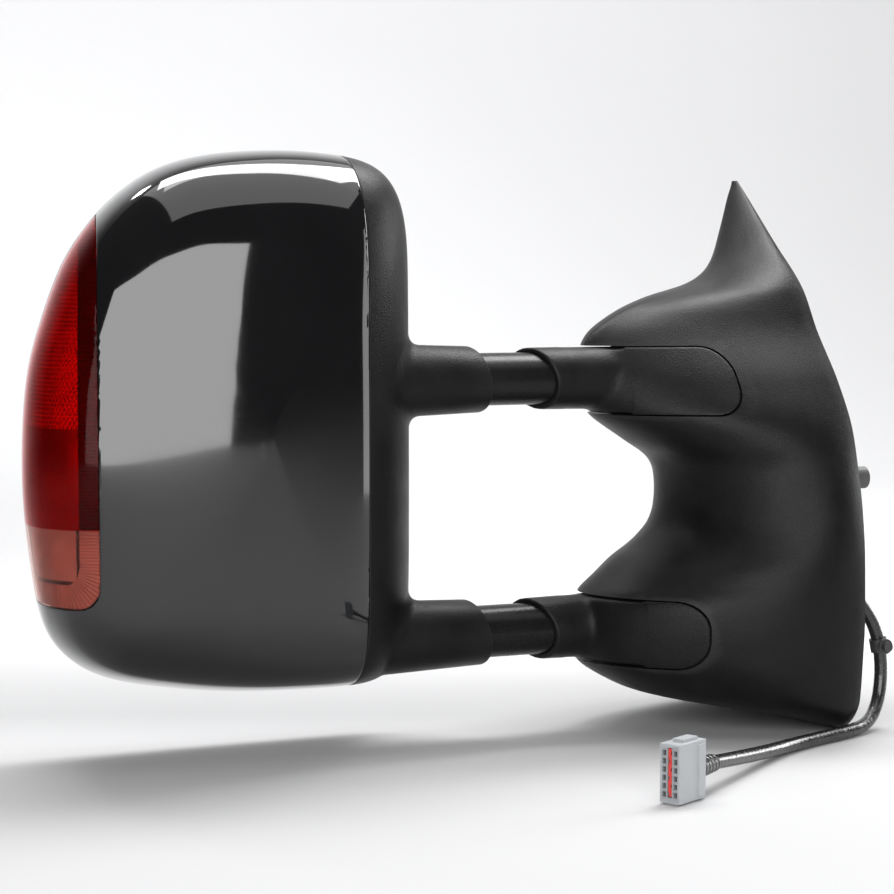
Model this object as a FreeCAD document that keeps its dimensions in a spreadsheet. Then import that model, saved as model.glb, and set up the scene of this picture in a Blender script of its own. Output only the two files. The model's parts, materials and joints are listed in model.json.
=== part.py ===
import FreeCAD, Part
import os, math
from FreeCAD import Vector, Placement, Rotation

# Telescoping two-arm towing mirror for the right-hand door of a pick-up truck.
# Row frame, millimetres: +X points inboard into the door, +Y rearward (the side
# that the glass faces), +Z up.  X = 0 is the face of the door gasket.
# The head hangs outboard at X -550..-284, carried by two tubes along X.

doc = FreeCAD.newDocument("towing_mirror")
os.makedirs("parts", exist_ok=True)

# ---------------------------------------------------------------- dimensions
DIMS = [
    ("upper_axis_z", 44.8), ("lower_axis_z", -126.0),
    ("tube_radius", 17.7), ("tube_wall", 2.0), ("tube_out_x", -430.0), ("tube_in_x", -146.0),
    ("sleeve_mouth_radius", 20.6), ("sleeve_root_radius", 21.8), ("sleeve_bore", 17.75),
    ("mouth_x", -207.5), ("mouth_tilt_y", -0.46), ("mouth_tilt_z", -0.2),
    ("boss_end_radius", 22.0), ("boss_root_radius", 24.6), ("boss_end_x", -251.5),
    ("boss_tilt_y", -0.26), ("boss_tilt_z", -0.17), ("boss_bore", 19.7),
    ("pivot_x", -122.0), ("pivot_y", 8.0), ("pin_radius", 5.0), ("pin_head_radius", 8.0),
    ("slot_half", 23.4), ("paddle_half", 22.6), ("tail_x", -78.5), ("tail_low_x", -112.0), ("tail_gap", 0.8),
    ("hub_radius", 21.0), ("tail_corner", 19.0), ("pocket_wall", 2.5),
    ("bush_in", 5.05), ("bush_out", 8.0), ("bush_flange", 11.0), ("arm_bore", 8.0),
    ("washer_thick", 0.5),
    ("cover_wall", 3.0), ("flange_x", -0.8),
    ("gasket_thick", 3.2), ("gasket_inset", 8.6), ("gasket_width", 7.0),
    ("plate_thick", 8.0), ("plate_inset", 8.0), ("boss_radius", 7.5), ("boss_proud", 10.5),
    ("insert_outer", 5.2), ("insert_bore", 3.4), ("insert_len", 14.0),
    ("head_wall", 3.0), ("seam_gap", 0.5), ("cap_seam_x", -341.0), ("rear_ring_y", 34.0),
    ("lens_seam_x", -516.0), ("lens_low_z", -91.5), ("lens_corner", 14.0),
    ("bush_len", 22.0), ("guide_inner", 17.76), ("guide_outer", 19.6), ("barrel_radius", 21.4),
    ("barrel_out_x", -372.0), ("glass_x", -413.0), ("glass_z", 74.0), ("spot_z", -102.0),
    ("pivot_plane_y", 36.0), ("glass_inset", 9.0), ("back_y", 42.0), ("back_thick", 2.4),
    ("heater_thick", 0.5), ("glass_thick", 2.2), ("divider_low_z", -48.0), ("divider_high_z", -42.0),
    ("jack_radius", 3.0), ("jack_lever_up", 30.0), ("jack_lever_side", 26.0),
    ("motor_radius", 9.6), ("motor_len", 25.0), ("gimbal_pin", 2.0), ("gimbal_bore", 2.05),
    ("cable_radius", 4.5), ("conn_len", 28.0), ("conn_wide", 14.0), ("conn_tall", 37.5),
    ("floor_z", -199.2), ("screw_radius", 2.0), ("screw_head", 4.2), ("bulb_radius", 2.4),
]
sheet = doc.addObject("Spreadsheet::Sheet", "Dims")
for i, (alias, value) in enumerate(DIMS):
    sheet.set("A%d" % (i + 1), alias)
    sheet.set("B%d" % (i + 1), str(value))
    sheet.setAlias("B%d" % (i + 1), alias)
doc.recompute()


def dim(name):
    return float(sheet.get(name))


def val(spec):
    """A number, an alias, or (alias, factor, offset)."""
    if isinstance(spec, str):
        return dim(spec)
    if isinstance(spec, tuple):
        return dim(spec[0]) * spec[1] + spec[2]
    return float(spec)


def bind(obj, prop, spec):
    if isinstance(spec, str):
        obj.setExpression(prop, "Dims.%s" % spec)
    elif isinstance(spec, tuple):
        obj.setExpression(prop, "Dims.%s * %r + %r" % spec)
    else:
        setattr(obj, prop, float(spec))


NODES = []


def node(obj, name):
    obj.Label = name
    NODES.append(obj)
    return obj


def feature(name, shape):
    obj = doc.addObject("Part::Feature", name + "_shape")
    obj.Shape = shape
    obj.Placement = shape.Placement
    return obj


AXES = {"x": Rotation(Vector(0, 1, 0), 90), "y": Rotation(Vector(1, 0, 0), -90), "z": Rotation()}


def cyl(name, radius, height, start, axis):
    """Cylinder from start along +axis, sizes bound to the sheet."""
    obj = doc.addObject("Part::Cylinder", name)
    bind(obj, "Radius", radius)
    bind(obj, "Height", height)
    obj.Placement = Placement(Vector(*start), AXES[axis])
    return obj


def box(name, low, size):
    obj = doc.addObject("Part::Box", name)
    for prop, spec in zip(("Length", "Width", "Height"), size):
        bind(obj, prop, spec)
    obj.Placement = Placement(Vector(*low), Rotation())
    return obj


def fuse(name, parts):
    obj = doc.addObject("Part::MultiFuse", name)
    obj.Shapes = parts
    return obj


def cut(name, base, tool):
    obj = doc.addObject("Part::Cut", name)
    obj.Base = base
    obj.Tool = tool
    return obj


def plane_of(body, role):
    for feat in body.Origin.OriginFeatures:
        if feat.Role == role:
            return feat
    raise ValueError(role)


def new_body(name):
    return doc.addObject("PartDesign::Body", name)


def new_sketch(body, name, role, geometry):
    sk = body.newObject("Sketcher::SketchObject", name)
    sk.AttachmentSupport = [(plane_of(body, role), "")]
    sk.MapMode = "FlatFace"
    for g in geometry:
        sk.addGeometry(g, False)
    return sk


def loop(points):
    pts = [Vector(a, b, 0) for a, b in points]
    return [Part.LineSegment(pts[i], pts[(i + 1) % len(pts)]) for i in range(len(pts))]


def circle(a, b, r):
    return Part.Circle(Vector(a, b, 0), Vector(0, 0, 1), r)


def pad(body, name, sk, length):
    p = body.newObject("PartDesign::Pad", name)
    p.Profile = sk
    bind(p, "Length", length)
    return p


def revolve(body, name, sk, axis):
    r = body.newObject("PartDesign::Revolution", name)
    r.Profile = sk
    r.ReferenceAxis = (sk, [axis])
    r.Angle = 360.0
    return r


def solid_of(shape):
    """The single solid inside a boolean's result."""
    solids = shape.Solids
    return solids[0] if len(solids) == 1 else Part.makeCompound(solids)


def tbl(table, z):
    """Smooth monotone-ish lookup: piecewise cubic Hermite through the rows."""
    if z <= table[0][0]:
        return table[0][1]
    if z >= table[-1][0]:
        return table[-1][1]
    n = len(table)
    for i in range(n - 1):
        z0, v0 = table[i]
        z1, v1 = table[i + 1]
        if z0 <= z <= z1:
            break

    def slope(k):
        if k <= 0 or k >= n - 1:
            return 0.0 if n < 3 else None
        a = (table[k][1] - table[k - 1][1]) / (table[k][0] - table[k - 1][0])
        b = (table[k + 1][1] - table[k][1]) / (table[k + 1][0] - table[k][0])
        if a * b <= 0:
            return 0.0
        return 2 * a * b / (a + b)
    d = (v1 - v0) / (z1 - z0)
    m0, m1 = slope(i), slope(i + 1)
    m0 = d if m0 is None else m0
    m1 = d if m1 is None else m1
    w = z1 - z0
    s = (z - z0) / w
    return ((1 + 2 * s) * (1 - s) ** 2 * v0 + s * (1 - s) ** 2 * w * m0
            + s * s * (3 - 2 * s) * v1 + s * s * (s - 1) * w * m1)


# ------------------------------------------------------------ base cover skin
# Rows by height: front edge at the door, outboard reach, Y of the reach.
FRONT = [(-199, -58), (-191, -77), (-175, -87), (-147, -90), (-119, -92), (-78, -91), (-44, -87),
         (-18, -81), (9, -73), (42, -53), (76, -25), (104, -6), (139, 36), (171, 74), (184, 90)]
REACH = [(-199, 10), (-195, 30), (-188, 62), (-181, 100), (-176, 122), (-170, 139), (-160, 158),
         (-150, 172), (-138, 175.5), (-126, 176), (-113, 175), (-104, 171), (-93, 158), (-82, 144), (-75, 132),
         (-64, 118), (-53, 110), (-37, 107), (-24, 108), (-13, 114), (-4, 127), (8, 146), (20, 163),
         (32, 169), (45, 171), (58, 170.5), (71, 166), (85, 147), (94, 126), (101, 101), (107, 72),
         (114, 52), (126, 36), (146, 23), (171, 10), (184, 3)]
CREST = [(-199, 10), (-170, 2), (-126, 0), (-60, 4), (-37, 6), (0, 4), (45, 2), (71, 4), (85, 8), (94, 14), (101, 24),
         (107, 36), (114, 47), (126, 60), (146, 74), (171, 87), (184, 93)]
REAR = [(-199, 80), (-190, 92), (-170, 97), (-60, 98), (90, 98), (184, 98)]
FRONT_SHAPE = [(0.0, 1.0), (0.12, 1.06), (0.30, 1.06), (0.476, 0.98), (0.655, 0.83), (0.833, 0.58), (0.952, 0.30)]
REAR_SHAPE = [(0.952, 0.21), (0.80, 0.44), (0.595, 0.62), (0.357, 0.78), (0.12, 0.92), (0.0, 1.0)]


def base_section(z, inset, x_face):
    """Plan outline of the base at height z, drawn in by inset."""
    zs = (z - inset, z, z + inset) if inset else (z,)
    zs = [min(max(q, -199.0), 184.0) for q in zs]
    yf = max(tbl(FRONT, q) for q in zs) + inset
    yr = min(tbl(REAR, q) for q in zs) - inset
    reach = max(min(tbl(REACH, q) for q in zs) - inset, 1.2)
    yc = tbl(CREST, z)
    yc = min(max(yc, yf + 1.0), yr - 1.0)
    pts = [Vector(x_face, yf, z)]
    span = reach + x_face
    for u, v in FRONT_SHAPE[1:]:
        pts.append(Vector(x_face - u * span, yc + v * (yf - yc), z))
    pts.append(Vector(x_face - span, yc, z))
    for u, v in REAR_SHAPE[:-1]:
        pts.append(Vector(x_face - u * span, yc + v * (yr - yc), z))
    pts.append(Vector(x_face, yr, z))
    return pts


def base_solid(heights, inset, x_face):
    """One B-spline skin through the plan outlines, closed by three flat faces."""
    grid = [base_section(z, inset, x_face) for z in heights]
    surf = Part.BSplineSurface()
    surf.interpolate(grid)
    u0, u1, v0, v1 = surf.bounds()
    low, high = surf.uIso(u0).toShape(), surf.uIso(u1).toShape()
    front, back = surf.vIso(v0).toShape(), surf.vIso(v1).toShape()

    def seg(a, b):
        return Part.LineSegment(a, b).toShape()
    g0, g1 = grid[0], grid[-1]
    low_line, high_line = seg(g0[0], g0[-1]), seg(g1[0], g1[-1])
    faces = [surf.toShape(),
             Part.Face(Part.Wire(Part.__sortEdges__([low, low_line]))),
             Part.Face(Part.Wire(Part.__sortEdges__([high, high_line]))),
             Part.Face(Part.Wire(Part.__sortEdges__([front, high_line, back, low_line])))]
    shell_ = Part.Shell(faces)
    if not shell_.isClosed():
        shell_.sewShape()
    body = Part.Solid(shell_)
    if body.Volume < 0:
        body.reverse()
    return body


LEVELS = [-199, -196.5, -193, -189, -185, -181, -176, -170, -163, -156, -149, -142, -134, -126, -118, -110, -102, -95, -88,
          -81, -74, -67, -59, -51, -43, -35, -27, -19, -11, -3, 5, 13, 21, 29, 37, 45, 53, 61, 69, 77, 84, 90, 95, 100, 105,
          110, 116, 124, 133, 143, 153, 163, 174, 184]
wall = dim("cover_wall")
flange_x = dim("flange_x")
base_outer = base_solid(LEVELS, 0.0, flange_x)
base_inner = base_solid([z for z in LEVELS if -196 < z < 165], wall, 4.0)


def slot_void(zc, half, grow, x_rear_extra):
    """Space the arm's inner end sweeps as it folds rearward."""
    px, py = dim("pivot_x"), dim("pivot_y")
    tail = dim("tail_x" if zc > 0 else "tail_low_x") + dim("tail_gap") + grow
    h = half + grow
    r = dim("tail_corner") + grow
    x0 = -260.0
    y0, y1 = -120.0, py + dim("tail_gap") + grow
    # round-ended bar seen from the front, pushed along Y
    p = [Vector(x0, y0, zc - h), Vector(tail - r, y0, zc - h), Vector(tail, y0, zc - h + r),
         Vector(tail, y0, zc + h - r), Vector(tail - r, y0, zc + h), Vector(x0, y0, zc + h)]
    k = r * (1 - math.sqrt(0.5))
    arc1 = Part.Arc(p[1], Vector(tail - k, y0, zc - h + k), p[2])
    arc2 = Part.Arc(p[3], Vector(tail - k, y0, zc + h - k), p[4])
    edges = [Part.LineSegment(p[0], p[1]), arc1, Part.LineSegment(p[2], p[3]), arc2,
             Part.LineSegment(p[4], p[5]), Part.LineSegment(p[5], p[0])]
    wire = Part.Wire([e.toShape() for e in edges])
    bar = Part.Face(wire).extrude(Vector(0, y1 - y0, 0))
    hub = Part.makeCylinder(dim("hub_radius") + dim("tail_gap") + grow, 2 * h, Vector(px, py, zc - h))
    rear = Part.makeBox(-104.0 + grow - x0, 200.0, 2 * h, Vector(x0, 0.0, zc - h))
    return bar.fuse(hub).fuse(rear)


UP, LOW = dim("upper_axis_z"), dim("lower_axis_z")
# arm centres: the tubes' axes; the slots sit a little below the upper axis
UPC, LOWC = UP - 1.8, LOW - 0.6
half = dim("slot_half")
void_up, void_low = slot_void(UPC, half, 0.0, 0.0), slot_void(LOWC, half, 0.0, 0.0)
keep_up = slot_void(UPC, half, dim("pocket_wall"), 0.0)
keep_low = slot_void(LOWC, half, dim("pocket_wall"), 0.0)

PX, PY = dim("pivot_x"), dim("pivot_y")
cavity = base_inner.cut(keep_up).cut(keep_low)
shell = base_outer.cut(cavity).cut(void_up).cut(void_low)
POSTS = [(60.0, 96.0), (66.0, -62.0), (-52.0, -62.0), (14.0, -172.0)]
for y, z in POSTS:
    post = Part.makeCylinder(5.0, 160.0, Vector(-11.4, y, z), Vector(-1, 0, 0)).common(base_outer)
    shell = shell.fuse(post.cut(keep_up).cut(keep_low))
for y, z in POSTS:
    shell = shell.cut(Part.makeCylinder(2.05, 26.0, Vector(-11.0, y, z), Vector(-1, 0, 0)))
for zc in (UPC, LOWC):
    shell = shell.cut(Part.makeCylinder(dim("pin_radius") + 0.2, 80.0, Vector(PX, PY, zc - 40)))
base_cover = node(feature("base_cover", solid_of(shell)), "base_cover")

# ---------------------------------------------------------- die-cast base frame


def flange_outline(inset, z_low, z_high, step=9.0):
    n = max(6, int((z_high - z_low) / step))
    zs = [z_low + (z_high - z_low) * i / n for i in range(n + 1)]
    front = [(tbl(FRONT, z) + inset + (0.35 * inset if z > 40 else 0), z) for z in zs]
    back = [(tbl(REAR, z) - inset, z) for z in reversed(zs)]
    return front + back


plate_body = new_body("frame_plate")
sk = new_sketch(plate_body, "frame_plate_sketch", "YZ_Plane",
                loop(flange_outline(dim("plate_inset"), -188.0, 138.0)))
pad(plate_body, "frame_plate_pad", sk, "plate_thick")
plate_body.Placement = Placement(Vector(-dim("gasket_thick") - dim("plate_thick"), 0, 0), Rotation())
doc.recompute()

frame_parts = [plate_body]
s_u, s_l = half + dim("pocket_wall"), half + dim("pocket_wall")
EARS = [(UPC + s_u + 0.2, 6.5), (UPC - s_u - 0.2 - 6.5, 6.5), (LOWC + s_l + 0.2, 6.5), (LOWC - s_l - 0.2 - 6.5, 6.5)]
for i, (z, t) in enumerate(EARS):
    frame_parts.append(box("frame_shelf_%d" % i, (PX, PY - 11.0, z), (-5.0 - PX, 22.0, t)))
    frame_parts.append(cyl("frame_ear_%d" % i, 11.0, t, (PX, PY, z), "z"))
frame_parts.append(box("frame_spine", (-62.0, PY - 4.0, LOWC - s_l - 0.2), (54.0, 8.0, (UPC + s_u) - (LOWC - s_l))))
STUDS = [(-70.5, -24.0), (62.0, 30.0), (-20.0, -160.0)]
for i, (y, z) in enumerate(STUDS):
    frame_parts.append(cyl("frame_boss_%d" % i, "boss_radius", dim("boss_proud") + 24.0, (-24.0, y, z), "x"))
# machined datum pad at the origin, flush with the door skin
frame_parts.append(cyl("frame_datum_pad", 12.0, dim("gasket_thick") + 1.0, (-dim("gasket_thick") - 1.0, 0.0, 0.0), "x"))
frame_sum = fuse("frame_sum", frame_parts)
frame_cuts = []
for i, (y, z) in enumerate(STUDS):
    frame_cuts.append(cyl("frame_bore_%d" % i, "insert_outer", 30.0, (dim("boss_proud") - dim("insert_len"), y, z), "x"))
for i, (y, z) in enumerate(POSTS):
    frame_cuts.append(cyl("frame_screw_hole_%d" % i, ("screw_radius", 1.0, 0.3), 20.0, (-16.0, y, z), "x"))
# the casting stays clear of the moulded cover all round
clear = feature("cover_clearance", base_outer.cut(base_solid([z for z in LEVELS if -195 < z < 162], wall + 0.5, 4.0)))
frame_cuts.append(clear)
frame_cuts.append(cyl("frame_pin_bore", ("pin_radius", 1.0, 0.02), 300.0, (PX, PY, -200.0), "z"))
GROM_Y, GROM_Z = -66.0, -98.0
frame_cuts.append(cyl("frame_cable_hole", 8.0, 20.0, (-16.0, GROM_Y, GROM_Z), "x"))
node(cut("frame_cut", frame_sum, fuse("frame_cut_tools", frame_cuts)), "base_frame")

# foam gasket: a closed ring round the door face
gasket_body = new_body("gasket_body")
ring = loop(flange_outline(dim("gasket_inset"), -186.0, 150.0))
ring += loop(flange_outline(dim("gasket_inset") + dim("gasket_width"), -177.0, 122.0))
sk = new_sketch(gasket_body, "gasket_sketch", "YZ_Plane", ring)
pad(gasket_body, "gasket_pad", sk, "gasket_thick")
doc.recompute()
before = gasket_body.Shape.Volume
# room for the frame boss that stands in the ring's line
sk = new_sketch(gasket_body, "gasket_notch_sketch", "YZ_Plane", [circle(STUDS[0][0], STUDS[0][1], dim("boss_radius") + 0.8)])
notch = gasket_body.newObject("PartDesign::Pocket", "gasket_notch")
notch.Profile = sk
notch.Type = 1
notch.Reversed = True
doc.recompute()
if gasket_body.Shape.Volume > before - 1.0:
    raise RuntimeError("gasket notch cut nothing")
gasket_body.Placement = Placement(Vector(-dim("gasket_thick"), 0, 0), Rotation())
node(gasket_body, "door_gasket")

# brass threaded inserts in the three frame bosses
ins = []
for i, (y, z) in enumerate(STUDS):
    a = cyl("insert_out_%d" % i, "insert_outer", "insert_len", (dim("boss_proud") - dim("insert_len"), y, z), "x")
    b = cyl("insert_in_%d" % i, "insert_bore", 60.0, (-30.0, y, z), "x")
    ins.append(cut("insert_%d" % i, a, b))
node(fuse("inserts", ins), "mount_inserts")

# pan-head screws, frame plate to cover posts
scr = []
for i, (y, z) in enumerate(POSTS):
    shank = cyl("cover_shank_%d" % i, "screw_radius", 30.0, (-33.2, y, z), "x")
    head = cyl("cover_head_%d" % i, "screw_head", 2.6, (-3.2, y, z), "x")
    scr.append(fuse("cover_screw_%d" % i, [shank, head]))
node(fuse("cover_screws", scr), "cover_screws")

# ------------------------------------------------------------- pivot hardware


def pivot_pin(tag, z_low, z_top):
    """Shouldered pin, head below, revolved about its own axis."""
    body = new_body(tag + "_pin_body")
    r, hr = dim("pin_radius"), dim("pin_head_radius")
    prof = [(0, z_low - 3.0), (hr, z_low - 3.0), (hr, z_low), (r, z_low), (r, z_top - 1.0), (r - 1.0, z_top), (0, z_top)]
    sk = new_sketch(body, tag + "_pin_sketch", "XZ_Plane", loop(prof))
    revolve(body, tag + "_pin_rev", sk, "V_Axis")
    body.Placement = Placement(Vector(PX, PY, 0), Rotation())
    return body


NUT_T, STACK = 4.5, 4.0
node(pivot_pin("upper", EARS[1][0], EARS[0][0] + 6.5 + STACK + NUT_T + 1.2), "upper_pivot_pin")
node(pivot_pin("lower", EARS[3][0], EARS[2][0] + 6.5 + STACK + NUT_T + 1.2), "lower_pivot_pin")

springs, nuts = [], []
for tag, z in (("upper", EARS[0][0] + 6.5), ("lower", EARS[2][0] + 6.5)):
    # four dished spring washers, alternately up and down
    for k in range(4):
        zz = z + k * STACK / 4.0
        flip = k % 2
        a, b = (0.0, 0.32) if flip == 0 else (0.32, 0.0)
        prof = [Vector(dim("pin_radius") + 0.1, 0, zz + b), Vector(8.6, 0, zz + a), Vector(8.6, 0, zz + a + 0.62),
                Vector(dim("pin_radius") + 0.1, 0, zz + b + 0.62)]
        w = Part.Wire([Part.LineSegment(prof[j], prof[(j + 1) % 4]).toShape() for j in range(4)])
        disc = Part.Face(w).revolve(Vector(0, 0, 0), Vector(0, 0, 1), 360)
        disc.translate(Vector(PX, PY, 0.01))
        springs.append(disc)
    nb = new_body(tag + "_nut_body")
    hexa = [(7.4 * math.cos(math.radians(60 * q)), 7.4 * math.sin(math.radians(60 * q))) for q in range(6)]
    sk = new_sketch(nb, tag + "_nut_sketch", "XY_Plane", loop(hexa) + [circle(0, 0, dim("pin_radius") + 0.02)])
    pad(nb, tag + "_nut_pad", sk, NUT_T)
    nb.Placement = Placement(Vector(PX, PY, z + STACK + 0.02), Rotation())
    nuts.append(nb)
node(feature("spring_washers", Part.makeCompound(springs)), "pivot_spring_washers")
node(fuse("nuts", nuts), "pivot_nuts")

# nylon thrust washers between each arm hub and the pocket
tw = []
for i, zc in enumerate((UPC, LOWC)):
    for j, z in enumerate((zc - half + 0.1, zc + half - 0.1 - dim("washer_thick"))):
        a = cyl("thrust_out_%d%d" % (i, j), 11.0, "washer_thick", (PX, PY, z), "z")
        b = cyl("thrust_in_%d%d" % (i, j), ("pin_radius", 1.0, 0.1), 4.0, (PX, PY, z - 1), "z")
        tw.append(cut("thrust_%d%d" % (i, j), a, b))
node(fuse("thrust", tw), "thrust_washers")

# ------------------------------------------------------------------------ arms


def tilted_slab(x0, ty, tz, zc, keep_right):
    """Half space X > x0 + ty*Y + tz*(Z-zc) (or <) as a big box."""
    n = Vector(1, -ty, -tz)
    n.normalize()
    rot = Rotation(Vector(1, 0, 0), n)
    if keep_right:
        b = Part.makeBox(900, 900, 900, Vector(0, -450, -450))
    else:
        b = Part.makeBox(900, 900, 900, Vector(-900, -450, -450))
    b.Placement = Placement(Vector(x0, 0, zc), rot)
    return b


def make_arm(zc, slot_c):
    ph = dim("paddle_half")
    gap = dim("tail_gap")
    # bar inside the slot, a gap smaller all round, its face flush with the cover
    tail = dim("tail_x" if zc > 0 else "tail_low_x")
    r = dim("tail_corner")
    x0, y0, y1 = -190.0, -120.0, PY
    p = [Vector(x0, y0, slot_c - ph), Vector(tail - r, y0, slot_c - ph), Vector(tail, y0, slot_c - ph + r),
         Vector(tail, y0, slot_c + ph - r), Vector(tail - r, y0, slot_c + ph), Vector(x0, y0, slot_c + ph)]
    k = r * (1 - math.sqrt(0.5))
    edges = [Part.LineSegment(p[0], p[1]), Part.Arc(p[1], Vector(tail - k, y0, slot_c - ph + k), p[2]),
             Part.LineSegment(p[2], p[3]), Part.Arc(p[3], Vector(tail - k, y0, slot_c + ph - k), p[4]),
             Part.LineSegment(p[4], p[5]), Part.LineSegment(p[5], p[0])]
    bar = Part.Face(Part.Wire([e.toShape() for e in edges])).extrude(Vector(0, y1 - y0, 0))
    paddle = bar.common(base_outer)
    hub = Part.makeCylinder(dim("hub_radius"), 2 * ph, Vector(PX, PY, slot_c - ph))
    r1, r2 = dim("sleeve_mouth_radius"), dim("sleeve_root_radius")
    cone = Part.makeCone(r1, r2, 60.0, Vector(-226.0, 0, zc), Vector(1, 0, 0))
    root = Part.makeCylinder(r2, 40.0, Vector(-166.0, 0, zc), Vector(1, 0, 0))
    sleeve = cone.fuse(root)
    sleeve = sleeve.common(tilted_slab(dim("mouth_x"), dim("mouth_tilt_y"), dim("mouth_tilt_z"), zc, True))
    # the sleeve may not stand above or below the slot
    sleeve = sleeve.common(Part.makeBox(400, 400, 2 * ph, Vector(-400, -200, slot_c - ph)))
    arm = paddle.fuse(hub).fuse(sleeve)
    arm = arm.cut(Part.makeCylinder(dim("sleeve_bore"), 120.0, Vector(-260.0, 0, zc), Vector(1, 0, 0)))
    arm = arm.cut(Part.makeCylinder(dim("arm_bore"), 90.0, Vector(PX, PY, slot_c - 45)))
    arm = arm.cut(Part.makeCylinder(dim("bush_flange") + 0.0, 1.5, Vector(PX, PY, slot_c + ph - 1.5)))
    arm = arm.cut(Part.makeCylinder(dim("bush_flange") + 0.0, 1.5, Vector(PX, PY, slot_c - ph)))
    # set-screw hole from behind
    arm = arm.cut(Part.makeCylinder(2.52, 30.0, Vector(-158.0, 16.0, zc), Vector(0, 1, 0)))
    return arm.removeSplitter()


arm_up, arm_low = make_arm(UP, UPC), make_arm(LOW, LOWC)
node(feature("upper_arm", solid_of(arm_up)), "upper_arm")
node(feature("lower_arm", solid_of(arm_low)), "lower_arm")

bushes = []
for i, zc in enumerate((UPC, LOWC)):
    ph = dim("paddle_half")
    body = fuse("bush_sum_%d" % i, [
        cyl("bush_a_%d" % i, "bush_out", ("paddle_half", 2.0, 0.0), (PX, PY, zc - ph), "z"),
        cyl("bush_b_%d" % i, "bush_flange", 1.5, (PX, PY, zc - ph), "z"),
        cyl("bush_c_%d" % i, "bush_flange", 1.5, (PX, PY, zc + ph - 1.5), "z")])
    bushes.append(cut("bush_%d" % i, body, cyl("bush_bore_%d" % i, "bush_in", 70.0, (PX, PY, zc - 35), "z")))
node(fuse("bushes", bushes), "pivot_bushes")


def tube(tag, zc):
    """Steel tube: two circles on the YZ plane, padded along X."""
    body = new_body(tag + "_tube_body")
    r, w = dim("tube_radius"), dim("tube_wall")
    sk = new_sketch(body, tag + "_tube_sketch", "YZ_Plane", [circle(0, 0, r), circle(0, 0, r - w)])
    pad(body, tag + "_tube_pad", sk, dim("tube_in_x") - dim("tube_out_x"))
    body.Placement = Placement(Vector(dim("tube_out_x"), 0, zc), Rotation())
    return body


node(tube("upper", UP), "upper_tube")
node(tube("lower", LOW), "lower_tube")
plugs, setscrews = [], []
for i, zc in enumerate((UP, LOW)):
    a = cyl("plug_a_%d" % i, ("tube_radius", 1.0, -2.05), 12.0, (dim("tube_out_x"), 0, zc), "x")
    b = cyl("plug_b_%d" % i, ("tube_radius", 1.0, -0.2), 2.0, (dim("tube_out_x") - 2.0, 0, zc), "x")
    plugs.append(fuse("plug_%d" % i, [a, b]))
    setscrews.append(cyl("set_screw_%d" % i, 2.5, 4.0, (-158.0, dim("tube_radius") + 0.02, zc), "y"))
node(fuse("plugs", plugs), "tube_end_plugs")
node(fuse("set_screws", setscrews), "arm_set_screws")

# ------------------------------------------------------------------- head skin
# Front outline, clockwise from the outboard middle: (X, Z) at the widest depth.
OUTLINE = [(-551, -8), (-549.5, 29), (-545, 61), (-537, 87), (-528, 111), (-519, 129), (-509, 143), (-496, 158),
           (-480, 171.5), (-460, 183.5), (-430, 192), (-400, 195.3), (-370, 196), (-340, 194), (-320, 190.5), (-306, 184.5),
           (-295, 173), (-289, 158), (-286, 139), (-285, 100), (-284.5, 40), (-284.5, -40), (-285, -100),
           (-287, -128), (-293, -146), (-306, -157.5), (-324, -161.5), (-363, -162), (-416, -160), (-467, -153),
           (-501, -144.5), (-521, -133), (-535, -117), (-541.5, -100), (-547, -66), (-550, -38)]
HX, HZ = -410.0, 15.0
DEPTHS = [55, 40, 25, 10, -5, -18, -29, -38, -45, -50, -53.2, -55, -55.8]
LEFT = [-543.5, -547, -549.8, -551, -549.5, -544.5, -535.5, -522.5, -505, -483, -459, -434, -417]
RIGHT = [-284, -284.3, -288, -293.5, -299.3, -307.5, -317.5, -329, -342, -357, -373, -390, -402]
TOP = [193.5, 195.6, 196, 195, 192, 186, 177, 165, 149, 129, 104, 70, 38]
BOTTOM = [-160, -161.6, -161, -158.4, -155.2, -151, -144, -133, -118, -99, -75, -42, -8]
START = 21          # the seam of the skin runs down the inboard side
_ring = Part.BSplineCurve()
_ring.interpolate([Vector(x, 0, z) for x, z in OUTLINE[START:] + OUTLINE[:START]], PeriodicFlag=True)
RING = [(p.x, p.z) for p in _ring.toShape().discretize(Number=57)[:-1]]     # evenly spaced round the outline


def head_points(t, inset, y=None):
    """Front outline at row t of the depth tables, drawn in by inset."""
    rows = [tbl(list(enumerate(column)), t) for column in (DEPTHS, LEFT, RIGHT, TOP, BOTTOM)]
    sl = (rows[1] + inset - HX) / (-551.0 - HX)
    sr = (rows[2] - inset - HX) / (-284.5 - HX)
    st = (rows[3] - inset - HZ) / (196.0 - HZ)
    sb = (rows[4] + inset - HZ) / (-162.0 - HZ)
    depth = y if y is not None else rows[0] + inset * min(1.0, max(0.0, (t - 3.0) / 3.0))
    pts = []
    for x, z in RING:
        sx = sr if x > HX else sl
        sz = st if z > HZ else sb
        pts.append(Vector(HX + (x - HX) * sx, depth, HZ + (z - HZ) * sz))
    return pts


def head_section(t, inset, y=None):
    curve = Part.BSplineCurve()
    curve.interpolate(head_points(t, inset, y), PeriodicFlag=True)
    return Part.Wire([curve.toShape()])


def head_solid(inset, rear_extra, last):
    """One skin through the outlines from the rear rim to the front, with flat ends."""
    grid = []
    if rear_extra:
        grid.append(head_points(0, inset, 55.0 + rear_extra))
    steps = [k * 0.5 for k in range(0, 2 * last + 1)]
    for t in steps:
        row = head_points(t, inset)
        grid.append(row)
    grid = [row + [row[0]] for row in grid]
    surf = Part.BSplineSurface()
    surf.interpolate(grid)
    u0, u1, v0, v1 = surf.bounds()
    rear, front = surf.uIso(u0).toShape(), surf.uIso(u1).toShape()
    shell_ = Part.Shell([surf.toShape(), Part.Face(Part.Wire([rear])), Part.Face(Part.Wire([front]))])
    shell_.sewShape()
    body = Part.Solid(shell_)
    if body.Volume < 0:
        body.reverse()
    return body


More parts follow.
